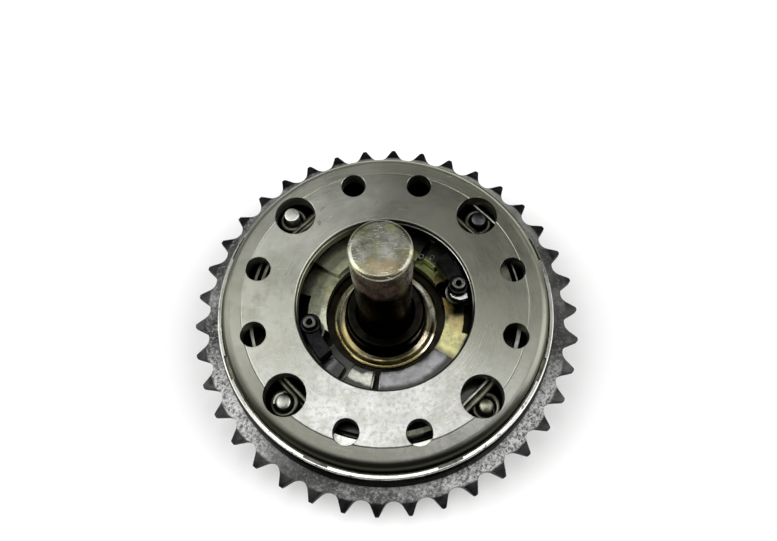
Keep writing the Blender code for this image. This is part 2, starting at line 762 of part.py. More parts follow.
def main():
    clear_scene()
    make_sprocket()
    make_drum()
    make_cover_plate()
    make_snap_ring()
    make_rear_cover()
    make_rear_screws()
    make_locating_dowel()
    make_bearings()
    make_pins()
    make_springs()
    make_hub()
    make_shaft()
    make_hub_fittings()
    for letter, turn in (("a", 0), ("b", 180)):
        make_drive_post(letter, turn)
        make_post_arm(letter, turn)
    make_flyweights()


main()
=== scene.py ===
"""The looks of the timing-advance sprocket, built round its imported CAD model."""

from math import atan2, cos, degrees, pi, radians, sin

import bmesh
import bpy
from mathutils import Matrix, Vector


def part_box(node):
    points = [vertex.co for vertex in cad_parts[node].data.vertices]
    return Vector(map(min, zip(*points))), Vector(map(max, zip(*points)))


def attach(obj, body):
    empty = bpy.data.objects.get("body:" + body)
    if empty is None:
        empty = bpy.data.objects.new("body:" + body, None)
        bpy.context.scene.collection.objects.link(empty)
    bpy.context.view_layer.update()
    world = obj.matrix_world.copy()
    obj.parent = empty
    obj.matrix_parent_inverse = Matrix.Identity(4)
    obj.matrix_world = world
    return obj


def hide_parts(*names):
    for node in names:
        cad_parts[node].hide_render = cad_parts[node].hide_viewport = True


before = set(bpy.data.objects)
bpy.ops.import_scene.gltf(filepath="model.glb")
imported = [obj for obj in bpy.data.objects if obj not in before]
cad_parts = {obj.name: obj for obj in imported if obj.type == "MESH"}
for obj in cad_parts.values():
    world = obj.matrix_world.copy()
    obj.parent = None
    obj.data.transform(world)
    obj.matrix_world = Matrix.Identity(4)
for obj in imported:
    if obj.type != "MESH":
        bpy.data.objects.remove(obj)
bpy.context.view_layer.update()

# ---------------- sizes, from the CAD model


def low(node):
    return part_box(node)[0].z


def high(node):
    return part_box(node)[1].z


def reach(node):
    """The radius of a node turned about the unit's axis."""
    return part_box(node)[1].x


def middle(node):
    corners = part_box(node)
    return (corners[0] + corners[1]) / 2


MM = 0.001
DRIVE, HUB = "drive", "hub"
FLYWEIGHT = {"a": ("flyweight_a", 0), "b": ("flyweight_b", 180)}
REAR_SCREWS = [f"rear_screw_{number}" for number in (1, 2, 3, 4)]
TOP = high("cover_plate")
RIM_TOP = high("drum")
TEETH = 38
FIRST_TOOTH = 2.95
PITCH_R = 57.67 * MM
SEAT_R = 3.2 * MM
TIP_R = 58.98 * MM
TIP_HALF_WIDTH = 0.52 * MM
ROOT_FACE_R = 55.2 * MM
GROOVE_R = 41.9 * MM
FLAT_R = 45.4 * MM
SIDE_R = 47.8 * MM
BORE_R = 26.0 * MM
HOLE_CIRCLE = 39.0 * MM
SMALL_HOLES = [a + s for a in (0, 90, 180, 270) for s in (15, -15)]
LARGE_HOLES = [45, 135, 225, 315]
LUGS = [22.5 + 45 * k for k in range(8)]
POST_CIRCLE, POST_ANGLE = 22.5 * MM, 15.6
PIVOT_CIRCLE, PIVOT_ANGLE = 41.2 * MM, 135
ADVANCE, SWING = 8, 4.5  # degrees that the hub and a flyweight turn
KEYWAY_HALF = 1.8 * MM
HUB_FRONT = 13.7 * MM
SPRING_LEVEL, STRIP_LEVEL, TAB_LEVEL = 24.7 * MM, 24.95 * MM, 26.2 * MM
CLEAR = 1 * MM  # how far a cutter runs past what it cuts
WIDE, ROUND = 256, 96  # sides of turned pieces
AXIS = Vector((0, 0, 0))


# ---------------- mesh helpers


def at(radius, angle, z=0.0):
    """The point at that distance and angle, in degrees, from the unit's axis."""
    return Vector((radius * cos(radians(angle)), radius * sin(radians(angle)), z))


def arc(radius, start, end, steps, centre=(0, 0)):
    """Points along an arc, which runs clockwise where its end is the smaller angle."""
    angles = [radians(start + (end - start) * i / steps) for i in range(steps + 1)]
    return [(centre[0] + radius * cos(a), centre[1] + radius * sin(a)) for a in angles]


def sector(inner, outer, start, end, steps):
    """The outline of a piece of a ring."""
    return arc(outer, start, end, steps) + arc(inner, end, start, steps)


def rounded(points, radius=0.0, steps=3):
    """A closed outline with each corner rounded. A third number in a point is its own radius."""
    flat = [Vector(p[:2]) for p in points]
    outline = []
    for i, corner in enumerate(flat):
        own = points[i][2] if len(points[i]) > 2 else radius
        before, after = flat[i - 1] - corner, flat[(i + 1) % len(flat)] - corner
        reach = min(own, 0.45 * before.length, 0.45 * after.length)
        if reach < 1e-6 or corner.x < 1e-9:
            outline.append(tuple(corner))
            continue
        start, end = corner + before.normalized() * reach, corner + after.normalized() * reach
        for k in range(steps + 1):
            t = k / steps
            point = start * (1 - t) ** 2 + corner * (2 * t * (1 - t)) + end * t ** 2
            outline.append(tuple(point))
    return outline


def turned_into(bm, profile, sides, centre=(0, 0)):
    """Turns a profile of radii and heights about an upright axis. A radius of 0 makes one point."""
    x, y = centre[:2]
    turn = [2 * pi * i / sides for i in range(sides)]
    rings = []
    for radius, z in profile:
        if radius < 1e-9:
            rings.append([bm.verts.new((x, y, z))] * sides)
        else:
            rings.append([bm.verts.new((x + radius * cos(a), y + radius * sin(a), z)) for a in turn])
    for lower, upper in zip(rings, rings[1:] + rings[:1]):
        for i in range(sides):
            j = (i + 1) % sides
            corners = list(dict.fromkeys([lower[i], lower[j], upper[j], upper[i]]))
            if len(corners) > 2:
                bm.faces.new(corners)


def prism_into(bm, outline, bottom, top):
    low = [bm.verts.new((x, y, bottom)) for x, y in outline]
    high = [bm.verts.new((x, y, top)) for x, y in outline]
    bm.faces.new(reversed(low))
    bm.faces.new(high)
    for i in range(len(outline)):
        j = (i + 1) % len(outline)
        bm.faces.new((low[i], low[j], high[j], high[i]))


def linked(name, data):
    """A new object in the scene, which holds that mesh, curve, light or camera."""
    obj = bpy.data.objects.new(name, data)
    bpy.context.scene.collection.objects.link(obj)
    return obj


def add_object(name, bm, *finishes):
    mesh = bpy.data.meshes.new(name)
    bmesh.ops.recalc_face_normals(bm, faces=bm.faces)
    bm.to_mesh(mesh)
    bm.free()
    for finish in finishes:
        mesh.materials.append(finish)
    return linked(name, mesh)


def applied(obj, smooth=30):
    """Turns the object's modifiers into mesh, and shades it smooth up to that angle."""
    graph = bpy.context.evaluated_depsgraph_get()
    mesh = bpy.data.meshes.new_from_object(obj.evaluated_get(graph))
    obj.modifiers.clear()
    obj.data = mesh
    mesh.shade_smooth()
    mesh.set_sharp_from_angle(angle=radians(smooth))
    return obj


def cut(obj, bm, operation="DIFFERENCE"):
    """Cuts the shapes in bm out of obj, or joins them to it."""
    helper = add_object(obj.name + "_helper", bm)
    modifier = obj.modifiers.new("cut", "BOOLEAN")
    modifier.operation = operation
    modifier.object = helper
    applied(obj)
    bpy.data.objects.remove(helper)
    return obj


def bevelled(obj, width, segments=2, angle=35):
    """Rounds the edges that are sharper than that angle."""
    modifier = obj.modifiers.new("edges", "BEVEL")
    modifier.width = width
    modifier.segments = segments
    modifier.limit_method = "ANGLE"
    modifier.angle_limit = radians(angle)
    return applied(obj, 45)


def turned(name, profile, finish, sides=96, centre=(0, 0)):
    bm = bmesh.new()
    turned_into(bm, profile, sides, centre)
    return applied(add_object(name, bm, finish))


def prism(name, outline, bottom, top, finish):
    bm = bmesh.new()
    prism_into(bm, outline, bottom, top)
    return add_object(name, bm, finish)


def drill(obj, places, radius, bottom, top, sides=48):
    """Cuts round holes, which run past both heights by the cutters' clearance."""
    bottom, top = bottom - CLEAR, top + CLEAR
    drills = bmesh.new()
    for spot in places:
        turned_into(drills, [(0, bottom), (radius, bottom), (radius, top), (0, top)], sides, spot)
    return cut(obj, drills)


def mill(obj, outline, bottom, top, operation="DIFFERENCE"):
    """Cuts a prism out of obj, or joins it to it."""
    bm = bmesh.new()
    prism_into(bm, outline, bottom, top)
    return cut(obj, bm, operation)


def wire(name, points, radius, finish):
    """A round wire with flat ends, along the points."""
    curve = bpy.data.curves.new(name, "CURVE")
    curve.dimensions = "3D"
    curve.bevel_depth = radius
    curve.bevel_resolution = 5
    curve.use_fill_caps = True
    spline = curve.splines.new("POLY")
    spline.points.add(len(points) - 1)
    for point, place in zip(spline.points, points):
        point.co = (*place, 1)
    obj = linked(name, curve)
    graph = bpy.context.evaluated_depsgraph_get()
    mesh = bpy.data.meshes.new_from_object(obj.evaluated_get(graph))
    bpy.data.objects.remove(obj)
    mesh.materials.append(finish)
    mesh.shade_smooth()
    mesh.set_sharp_from_angle(angle=radians(50))
    return linked(name, mesh)


def half_turn(obj, name):
    """A copy of obj, turned halfway round the unit's axis."""
    mesh = obj.data.copy()
    mesh.transform(Matrix.Rotation(pi, 4, "Z"))
    return linked(name, mesh)


def place(obj, body, slot, *nodes):
    """The piece rides on that body and takes the place of those CAD nodes."""
    shading = obj.modifiers.new("shading", "WEIGHTED_NORMAL")
    shading.keep_sharp = True
    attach(obj, body)
    if nodes:
        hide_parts(*nodes)
    return obj


# ---------------- material helpers


class Shader:
    """A material under construction. Inputs are numbers, or outputs of other nodes."""

    def __init__(self, name, **principled):
        self.material = bpy.data.materials.new(name)
        self.material.use_nodes = True
        self.nodes = self.material.node_tree.nodes
        self.links = self.material.node_tree.links
        self.surface = self.nodes["Principled BSDF"]
        self.fill(self.surface, principled)
        self.place = self.add("ShaderNodeTexCoord").outputs["Object"]
        x, y, self.height = self.add("ShaderNodeSeparateXYZ", {"Vector": self.place}).outputs
        self.radius = self.math("SQRT", self.math("ADD", self.product(x, x), self.product(y, y)))
        self.angle = self.math("ARCTAN2", y, x)

    def fill(self, node, inputs):
        for key, value in inputs.items():
            socket = node.inputs[key if isinstance(key, int) else key.replace("_", " ")]
            if isinstance(value, bpy.types.NodeSocket):
                self.links.new(value, socket)
            else:
                socket.default_value = value

    def add(self, kind, inputs=None, **settings):
        node = self.nodes.new(kind)
        for key, value in settings.items():
            setattr(node, key, value)
        self.fill(node, inputs or {})
        return node

    def math(self, operation, a, b=0.0):
        return self.add("ShaderNodeMath", {0: a, 1: b}, operation=operation).outputs[0]

    def product(self, first, *others):
        for other in others:
            first = self.math("MULTIPLY", first, other)
        return first

    def noise(self, scale, detail=4.0, vector=None, rough=0.5):
        inputs = {"Vector": vector or self.place, "Scale": scale, "Detail": detail, "Roughness": rough}
        return self.add("ShaderNodeTexNoise", inputs).outputs["Fac"]

    def ramp(self, value, *stops):
        node = self.add("ShaderNodeValToRGB", {"Fac": value})
        ramp = node.color_ramp
        for index, (position, colour) in enumerate(stops):
            element = ramp.elements[index] if index < 2 else ramp.elements.new(position)
            element.position = position
            element.color = (*colour, 1)
        return node.outputs["Color"]

    def span(self, value, low, high, to_low=0.0, to_high=1.0):
        """The value's way from low to high, as a number between the other two."""
        inputs = {"Value": value, 1: low, 2: high, 3: to_low, 4: to_high}
        return self.add("ShaderNodeMapRange", inputs, clamp=True).outputs[0]

    def outward(self, start, end):
        """0 to 1 between two distances from the axis, in mm."""
        return self.span(self.radius, start * MM, end * MM)

    def below(self, top, start, end):
        """0 to 1 between two depths below that height, in mm."""
        return self.span(self.height, top - start * MM, top - end * MM)

    def ragged(self, value, noise, width):
        """The value in metres, moved to and fro by the noise over that width in mm."""
        return self.math("ADD", value, self.product(self.math("SUBTRACT", noise, 0.5), width * MM))

    def mix(self, share, a, b):
        a, b = ((*colour, 1) if isinstance(colour, tuple) else colour for colour in (a, b))
        return self.add("ShaderNodeMix", {0: share, 6: a, 7: b}, data_type="RGBA").outputs[2]

    def lay(self, colour, *shares):
        """Lays the colour over what the shader has so far, by the product of the shares."""
        self.colour = self.mix(self.product(*shares), self.colour, colour)

    def zone(self, middle, half, inner, outer, soft=5, edge=0.4):
        """1 in a patch of a ring about the axis, in degrees and mm, fading to 0 over a ragged edge."""
        radius = self.ragged(self.radius, self.noise(260, 3), 2.4)
        turn = self.math("COSINE", self.math("SUBTRACT", self.angle, radians(middle)))
        around = self.span(turn, cos(radians(half + soft)), cos(radians(max(half - soft, 0))))
        rising = self.span(radius, (inner - edge) * MM, (inner + edge) * MM)
        falling = self.span(radius, (outer + edge) * MM, (outer - edge) * MM)
        return self.product(around, rising, falling)

    def rings(self, across, along, detail=3.0):
        """Noise drawn out along circles round the axis, as turning leaves it."""
        parts = {
            0: self.product(self.math("ADD", self.radius, self.height), across),
            1: self.product(self.math("COSINE", self.angle), along),
            2: self.product(self.math("SINE", self.angle), along),
        }
        vector = self.add("ShaderNodeCombineXYZ", parts).outputs[0]
        return self.noise(1.0, detail, vector)

    def scratches(self, scale, stretch, turn, share):
        """Thin straight marks in one direction, 0 to 1."""
        mapping = self.add("ShaderNodeMapping", {"Vector": self.place})
        mapping.inputs["Rotation"].default_value = (0, 0, radians(turn))
        mapping.inputs["Scale"].default_value = (scale, scale * stretch, scale)
        value = self.noise(1.0, 2.0, mapping.outputs[0])
        return self.span(value, 1 - share, 1 - share + 0.04)

    def relief(self, *layers):
        """Bumps from pairs of height and depth in metres."""
        normal = None
        for height, depth in layers:
            inputs = {"Height": height, "Distance": depth, "Strength": 1.0}
            if normal:
                inputs["Normal"] = normal
            normal = self.add("ShaderNodeBump", inputs).outputs[0]
        self.links.new(normal, self.surface.inputs["Normal"])

    def finish(self, colour, roughness):
        self.fill(self.surface, {"Base_Color": colour, "Roughness": roughness})
        return self.material


def make_cover_finish():
    """Turned steel, with painted light: bright at the front, and darker towards the right and the far side
    as painted shade.
    """
    s = Shader("cover_plate_steel", Metallic=1.0, Specular_Tint=(0.4, 0.4, 0.36, 1))
    fine = s.rings(9000, 6)
    broad = s.rings(900, 2.5)
    cloud = s.noise(45, 5)
    mottle = s.noise(420, 5, rough=0.65)
    patches = s.noise(170, 3, rough=0.6)
    s.colour = s.ramp(cloud, (0.3, (0.28, 0.285, 0.23)), (0.7, (0.47, 0.475, 0.425)))
    s.lay((0.22, 0.22, 0.175), s.span(patches, 0.48, 0.66, 0.0, 0.6))
    # Painted highlight: the front of the plate is lighter.
    painted_front_highlight = s.mix(s.span(patches, 0.4, 0.6), (0.32, 0.32, 0.315), (0.54, 0.54, 0.545))
    s.lay(painted_front_highlight, s.zone(270, 45, 20, 60, 25), 0.72)
    blotch = s.span(s.noise(750, 4, rough=0.7), 0.50, 0.58)
    s.lay((0.25, 0.25, 0.245), blotch, s.zone(265, 60, 20, 60, 25), 0.6)
    # Painted highlight: the plate is lighter towards the far left.
    s.lay((0.62, 0.62, 0.56), s.zone(128, 20, 20, 60, 20), 0.4)
    s.lay((0.36, 0.355, 0.30), s.span(broad, 0.35, 0.7, 0.0, 0.35))
    spots = s.product(s.span(mottle, 0.60, 0.68), s.span(s.noise(70, 2), 0.48, 0.62))
    s.lay((0.13, 0.12, 0.08), spots, 0.5)
    marks = s.math("MAXIMUM", s.scratches(160, 14, 24, 0.30), s.scratches(120, 12, -52, 0.28))
    s.lay((0.70, 0.70, 0.67), marks, 0.25)
    # Painted shade: the plate is darker towards the right and the far side.
    painted_shade_tone = s.mix(patches, (0.07, 0.07, 0.052), (0.235, 0.235, 0.19))
    s.lay(painted_shade_tone, s.zone(42, 48, 20, 60, 30), 0.85)
    s.lay(painted_shade_tone, s.zone(345, 22, 20, 60, 25), 0.35)

    # Painted highlights and shade on the land past the groove and on the rounded brow, by angle, half width,
    # share and grey.
    land = s.span(s.radius, GROOVE_R - 0.05 * MM, GROOVE_R + 0.05 * MM)
    lands = [
        (240, 30, 0.88, 0.12),
        (284, 18, 0.6, 0.13),
        (180, 42, 0.6, 0.13),
        (90, 36, 0.25, 0.75),
        (56, 16, 0.2, 0.6),
    ]
    brow = s.outward(45.0, 46.2)
    brows = [(262, 74, 0.96, 0.03), (180, 18, 0.75, 0.09), (0, 22, 0.7, 0.11), (62, 40, 0.5, 0.8)]
    for area, tones in ((land, lands), (brow, brows)):
        for middle_angle, half, share, tone in tones:
            patch = s.zone(middle_angle, half, 20, 60, 13)
            s.lay((tone, tone, 0.8 * tone), area, patch, share)

    # Painted shade on the walls of the bore and the holes, and below the brow, with a painted lit patch on
    # the bore's left wall. The bore's ledge gets a painted highlight.
    oil_and_shade = s.mix(s.zone(158, 48, 20, 27, 16), (0.012, 0.012, 0.009), (0.26, 0.26, 0.20))
    s.lay(oil_and_shade, s.outward(26.3, 26.2), s.below(TOP, 0.3, 1.2), 0.95)
    # Painted highlight along the bore's ledge, towards the far right.
    ledge = s.product(s.below(TOP, 2.0, 1.75), s.below(TOP, 1.4, 1.5))
    s.lay((0.42, 0.42, 0.38), ledge, s.zone(46, 42, 20, 26.3, 14))
    # Painted shade on the walls of the holes, and below the brow.
    s.lay((0.02, 0.02, 0.015), s.zone(0, 180, 28, 45, 0), s.below(TOP, 0.3, 0.9), 0.85)
    s.lay((0.02, 0.02, 0.016), s.outward(46.9, 47), s.below(TOP, 2.2, 4), 0.93)
    rough = s.math("ADD", s.span(cloud, 0.3, 0.7, 0.27, 0.36), s.span(fine, 0.3, 0.7, -0.05, 0.06))
    s.relief((fine, 0.008 * MM), (marks, 0.01 * MM), (mottle, 0.012 * MM))
    return s.finish(s.colour, rough)


def make_drum_finish():
    """Oiled black steel, which also stands as painted shade on the outer wall, but for the rim that was
    turned bright.
    """
    s = Shader("oiled_drum_steel", Metallic=1.0, Specular_Tint=(0.35, 0.35, 0.35, 1))
    fine = s.rings(6000, 5)
    nick = s.rings(1500, 24, 4)
    cloud = s.noise(70, 4)
    # Near black: oiled steel, and painted shade on the drum's outer wall.
    steel = s.ramp(cloud, (0.3, (0.010, 0.010, 0.009)), (0.75, (0.040, 0.038, 0.032)))
    s.colour = s.ramp(s.noise(90, 4), (0.3, (0.22, 0.215, 0.18)), (0.7, (0.42, 0.42, 0.39)))
    # Painted highlight: the turned rim is lighter at the front.
    s.lay((0.66, 0.66, 0.63), s.zone(275, 52, 40, 60, 12), 0.8)
    s.lay((0.10, 0.095, 0.08), s.span(nick, 0.60, 0.70, 0.0, 0.8))
    edge = s.ragged(s.height, s.noise(400, 3), 0.8)
    near_top = s.span(edge, RIM_TOP - 0.75 * MM, RIM_TOP - 0.55 * MM)
    turned_part = s.product(near_top, s.outward(48.5, 48.58))
    s.relief((fine, 0.01 * MM), (nick, 0.03 * MM))
    rough = s.math("ADD", s.span(cloud, 0.3, 0.7, 0.26, 0.40), s.product(turned_part, -0.08))
    return s.finish(s.mix(turned_part, steel, s.colour), rough)


def make_sprocket_finish():
    """Blackened steel. The flat web is worn grey, and the tooth flanks stay black. The lighter and darker
    patches on the web, by angle, are painted reflections.
    """
    s = Shader("black_oxide_steel", Metallic=1.0, Specular_Tint=(0.5, 0.5, 0.5, 1))
    grain = s.noise(1300, 6, rough=0.75)
    cloud = s.noise(75, 4, rough=0.6)
    broad = s.rings(700, 4)
    dark, grey, light = (0.022, 0.022, 0.021), (0.10, 0.10, 0.097), (0.31, 0.31, 0.305)
    s.colour = s.ramp(cloud, (0.34, dark), (0.5, grey), (0.66, light))
    s.lay((0.52, 0.52, 0.51), s.span(grain, 0.52, 0.64), 0.55)
    s.lay((0.02, 0.02, 0.02), s.span(grain, 0.47, 0.38), 0.75)
    s.lay((0.05, 0.05, 0.05), s.span(broad, 0.5, 0.75, 0.0, 0.5))
    # Painted reflections on the web: darker towards 8 and 243 degrees, lighter towards 66 degrees, the front
    # and the left.
    s.lay((0.04, 0.04, 0.038), s.zone(8, 24, 45, 60, 16), 0.7)
    s.lay((0.42, 0.42, 0.38), s.zone(66, 24, 45, 60, 18), 0.6)
    speckle = s.span(grain, 0.41, 0.57)
    front = s.mix(speckle, (0.05, 0.05, 0.048), (0.55, 0.55, 0.54))
    s.lay(front, s.zone(313, 22, 45, 60, 14), 0.75)
    left = s.mix(speckle, (0.06, 0.06, 0.058), (0.56, 0.56, 0.55))
    s.lay(left, s.zone(211, 12, 45, 60, 10), 0.7)
    s.lay((0.05, 0.05, 0.048), s.zone(243, 9, 45, 60, 7), 0.6)
    tooth = s.ramp(s.noise(300, 4), (0.35, (0.012, 0.012, 0.013)), (0.75, (0.05, 0.049, 0.05)))
    flank = s.span(s.ragged(s.radius, cloud, 1.2), 55.0 * MM, 55.6 * MM)
    rough = s.math("ADD", s.span(grain, 0.3, 0.7, 0.34, 0.5), s.product(flank, 0.02))
    s.relief((grain, 0.06 * MM), (cloud, 0.1 * MM))
    return s.finish(s.mix(flank, s.colour, tooth), rough)


def make_shaft_finish():
    """Ground steel with brown oil. Its lower end is black."""
    s = Shader("ground_shaft_steel", Metallic=1.0, Specular_Tint=(0.4, 0.39, 0.37, 1))
    top = high("shaft")
    fine = s.rings(7000, 3)
    drops = s.noise(230, 5, rough=0.6)
    dark, grey, light = (0.10, 0.10, 0.07), (0.29, 0.29, 0.24), (0.58, 0.58, 0.53)
    s.colour = s.ramp(s.noise(140, 5, rough=0.6), (0.34, dark), (0.5, grey), (0.70, light))
    s.lay((0.16, 0.15, 0.075), s.span(drops, 0.54, 0.62, 0.0, 0.75))
    s.lay((0.30, 0.33, 0.16), s.span(s.noise(190, 2), 0.53, 0.60, 0.0, 0.5))
    s.lay((0.52, 0.40, 0.22), s.zone(274, 30, 3.4, 7.2, 30, 1.2), 0.5)
    s.lay((0.10, 0.10, 0.075), s.zone(180, 180, 7.1, 9, 0), 0.45)
    side = s.below(top, 1.2, 2)
    streaks = s.mix(s.span(s.rings(300, 160), 0.4, 0.6), (0.46, 0.37, 0.30), (0.15, 0.075, 0.05))
    s.lay(streaks, side)
    glints = [(204, 9, (0.85, 0.85, 0.76)), (337, 8, (0.90, 0.88, 0.80)), (315, 8, (0.42, 0.39, 0.32))]
    for middle_angle, half, tone in glints:
        s.lay(tone, side, s.zone(middle_angle, half, 6, 9, 6))
    oiled = s.span(s.ragged(s.height, s.noise(110, 3), 6), 57.5 * MM, 53 * MM)
    oil_and_shade = s.ramp(drops, (0.3, (0.006, 0.006, 0.005)), (0.8, (0.018, 0.015, 0.009)))
    s.lay(oil_and_shade, oiled)
    marks = s.math("MAXIMUM", s.scratches(420, 9, 35, 0.34), s.scratches(380, 9, -40, 0.34))
    s.lay((0.80, 0.80, 0.77), marks, s.math("SUBTRACT", 1.0, oiled), 0.45)
    rough = s.math("ADD", s.span(drops, 0.3, 0.7, 0.20, 0.36), s.span(oiled, 0, 1, 0.0, -0.06))
    s.relief((fine, 0.006 * MM), (marks, 0.015 * MM), (drops, 0.03 * MM))
    return s.finish(s.colour, rough)


def make_plain_steel(name, dark, light, rough, scale=260, pits=0.02, edge=1.0):
    """Steel with cloudy colour, speckle and fine relief. A low edge keeps it dark at a slant too."""
    s = Shader(name, Metallic=1.0, Specular_Tint=(edge, edge, edge, 1))
    cloud = s.noise(scale, 5, rough=0.6)
    speck = s.noise(scale * 9, 4, rough=0.7)
    s.colour = s.ramp(cloud, (0.3, dark), (0.72, light))
    s.lay(dark, s.span(speck, 0.58, 0.7, 0.0, 0.5))
    s.relief((cloud, pits * MM), (speck, pits * 0.6 * MM))
    return s.finish(s.colour, s.span(speck, 0.3, 0.7, rough - 0.06, rough + 0.1))


def make_weight_finish():
    """The flyweights' steel: oiled black, which also stands as painted shade under the cover's bore, but for
    lighter patches near the bore.
    """
    s = Shader("oiled_weight_steel", Metallic=0.9, Coat_Weight=0.3, Coat_Roughness=0.08)
    cloud = s.noise(120, 5, rough=0.6)
    s.colour = s.ramp(cloud, (0.3, (0.005, 0.005, 0.004)), (0.72, (0.022, 0.022, 0.016)))
    # Lighter patches near the bore, by angle. Where they end, the black is oiled steel and painted shade
    # under the cover's bore.
    patches = [
        (s.zone(140, 38, 17, 27, 12), (0.17, 0.175, 0.12)),
        (s.zone(160, 42, 17, 21.4, 12), (0.30, 0.31, 0.20)),
        (s.zone(172, 12, 17, 19.6, 8), (0.55, 0.50, 0.26)),
        (s.zone(180, 16, 17, 24, 6), (0.24, 0.25, 0.18)),
        (s.zone(186, 12, 17, 20.2, 6), (0.60, 0.62, 0.48)),
        (s.zone(24, 22, 17, 20.8, 8), (0.20, 0.15, 0.035)),
        (s.zone(50, 14, 17, 21.6, 6), (0.15, 0.17, 0.06)),
        (s.zone(340, 13, 18, 25, 3), (0.40, 0.38, 0.17)),
        (s.zone(352, 5, 19.5, 24, 4), (0.32, 0.26, 0.10)),
        (s.zone(290, 33, 19.2, 22.9, 4, 0.6), (0.19, 0.19, 0.195)),
        (s.zone(252, 11, 19.9, 23.0, 3, 0.4), (0.34, 0.35, 0.30)),
        (s.zone(217, 9, 20.4, 24.5, 4), (0.14, 0.14, 0.14)),
        (s.zone(96, 16, 17, 22.5, 6), (0.10, 0.105, 0.08)),
    ]
    uneven = s.span(s.noise(420, 4, rough=0.6), 0.42, 0.62)
    for share, tone in patches:
        lit = s.mix(uneven, tone, tuple(0.7 * c for c in tone))
        s.lay(lit, share, 0.96)
    s.relief((cloud, 0.05 * MM), (s.noise(700, 3), 0.01 * MM))
    return s.finish(s.colour, s.span(cloud, 0.3, 0.7, 0.2, 0.36))


def make_bronze():
    """Oiled bronze, dark, with painted highlights and reflections by angle."""
    s = Shader("oiled_bronze", Metallic=1.0, Coat_Weight=0.4, Coat_Roughness=0.06)
    cloud = s.noise(160, 5)
    dregs = s.span(s.noise(330, 5, rough=0.7), 0.58, 0.64)
    s.colour = s.ramp(cloud, (0.3, (0.020, 0.016, 0.006)), (0.72, (0.10, 0.085, 0.04)))
    # Painted highlights and reflections on the bronze, by angle.
    patches = [
        (s.zone(210, 18, 12.0, 16.3, 8), (0.28, 0.23, 0.09)),
        (s.zone(242, 26, 13.7, 16.3, 10), (0.36, 0.30, 0.12)),
        (s.zone(290, 30, 14.0, 16.3, 10), (0.32, 0.26, 0.10)),
        (s.zone(326, 11, 12.2, 16.3, 5), (0.75, 0.66, 0.46)),
        (s.zone(24, 22, 13.8, 14.9, 8), (0.20, 0.205, 0.17)),
        (s.zone(165, 30, 13.8, 14.9, 8), (0.11, 0.11, 0.07)),
    ]
    for share, tone in patches:
        s.lay(tone, share)
    s.lay((0.025, 0.014, 0.005), dregs, 0.8)
    s.relief((cloud, 0.12 * MM), (s.noise(600, 3), 0.02 * MM))
    return s.finish(s.colour, s.span(cloud, 0.3, 0.7, 0.18, 0.34))


COVER = make_cover_finish()
DRUM = make_drum_finish()
SPROCKET = make_sprocket_finish()
SHAFT = make_shaft_finish()
PLATE = make_weight_finish()
BRONZE = make_bronze()
BLACK = make_plain_steel("oil_black_steel", (0.002, 0.002, 0.002), (0.014, 0.012, 0.008), 0.2, edge=0.3)
DARK = make_plain_steel("dark_arm_steel", (0.003, 0.003, 0.0035), (0.022, 0.022, 0.023), 0.2, edge=0.4)
GREY = make_plain_steel("grey_block_steel", (0.13, 0.13, 0.13), (0.34, 0.34, 0.34), 0.34, 180, 0.04)
WIRE = make_plain_steel("spring_wire_steel", (0.045, 0.045, 0.035), (0.17, 0.17, 0.13), 0.36, 320, 0.04, 0.6)
# A lighter copy of the spring wire: painted light on wire that catches it.
LIT_WIRE = make_plain_steel("clean_wire_steel", (0.13, 0.13, 0.11), (0.40, 0.40, 0.37), 0.34, 320, 0.04)
PIN = make_plain_steel("pin_end_steel", (0.42, 0.42, 0.38), (0.72, 0.72, 0.68), 0.3, 300, 0.03)
# OLIVE_PIN: oiled pin steel, darker as painted shade.
OLIVE_PIN = make_plain_steel("oiled_pin_steel", (0.13, 0.13, 0.09), (0.33, 0.33, 0.26), 0.3, 300, 0.03)
TAB = make_plain_steel("bright_tab_steel", (0.35, 0.35, 0.32), (0.75, 0.75, 0.72), 0.2, 240, 0.03)
# DARK_PIN: a darker copy of the pin steel, painted shade.
DARK_PIN = make_plain_steel("dark_pin_steel", (0.02, 0.02, 0.022), (0.10, 0.10, 0.105), 0.3, 500, 0.05)
PIN_END = make_plain_steel("grey_pin_steel", (0.25, 0.25, 0.22), (0.5, 0.5, 0.46), 0.3, 300, 0.03)
POST = make_plain_steel("post_end_steel", (0.05, 0.05, 0.045), (0.13, 0.13, 0.118), 0.3, 300, 0.03)
REAR = make_plain_steel("rear_cover_steel", (0.10, 0.10, 0.09), (0.24, 0.235, 0.21), 0.34, 90, 0.02)
SCREW = make_plain_steel("black_screw_steel", (0.02, 0.02, 0.02), (0.08, 0.08, 0.078), 0.34, 300)


# ---------------- drum side


def section(node, inner, outer):
    """The profile of a plain ring as high as the node."""
    return [(inner, low(node)), (outer, low(node)), (outer, high(node)), (inner, high(node))]


def bar(half_width, near, far):
    """The outline of a straight bar or slot across +Y."""
    return [(-half_width, near), (half_width, near), (half_width, far), (-half_width, far)]


def tooth_outline():
    step = 360 / TEETH
    tip_angle = degrees(TIP_HALF_WIDTH / TIP_R)
    outline = []
    for k in range(TEETH):
        tip = FIRST_TOOTH + step * k
        seat = at(PITCH_R, tip + step / 2)
        for side in (-1, 1):
            corner = at(TIP_R, tip + side * tip_angle)
            outline.append((corner.x, corner.y, 0.4 * MM))
        for i in range(15):
            point = seat + at(SEAT_R, tip + step / 2 + 180 + 63 - 9 * i)
            outline.append(point.xy)
    return rounded(outline, steps=4)


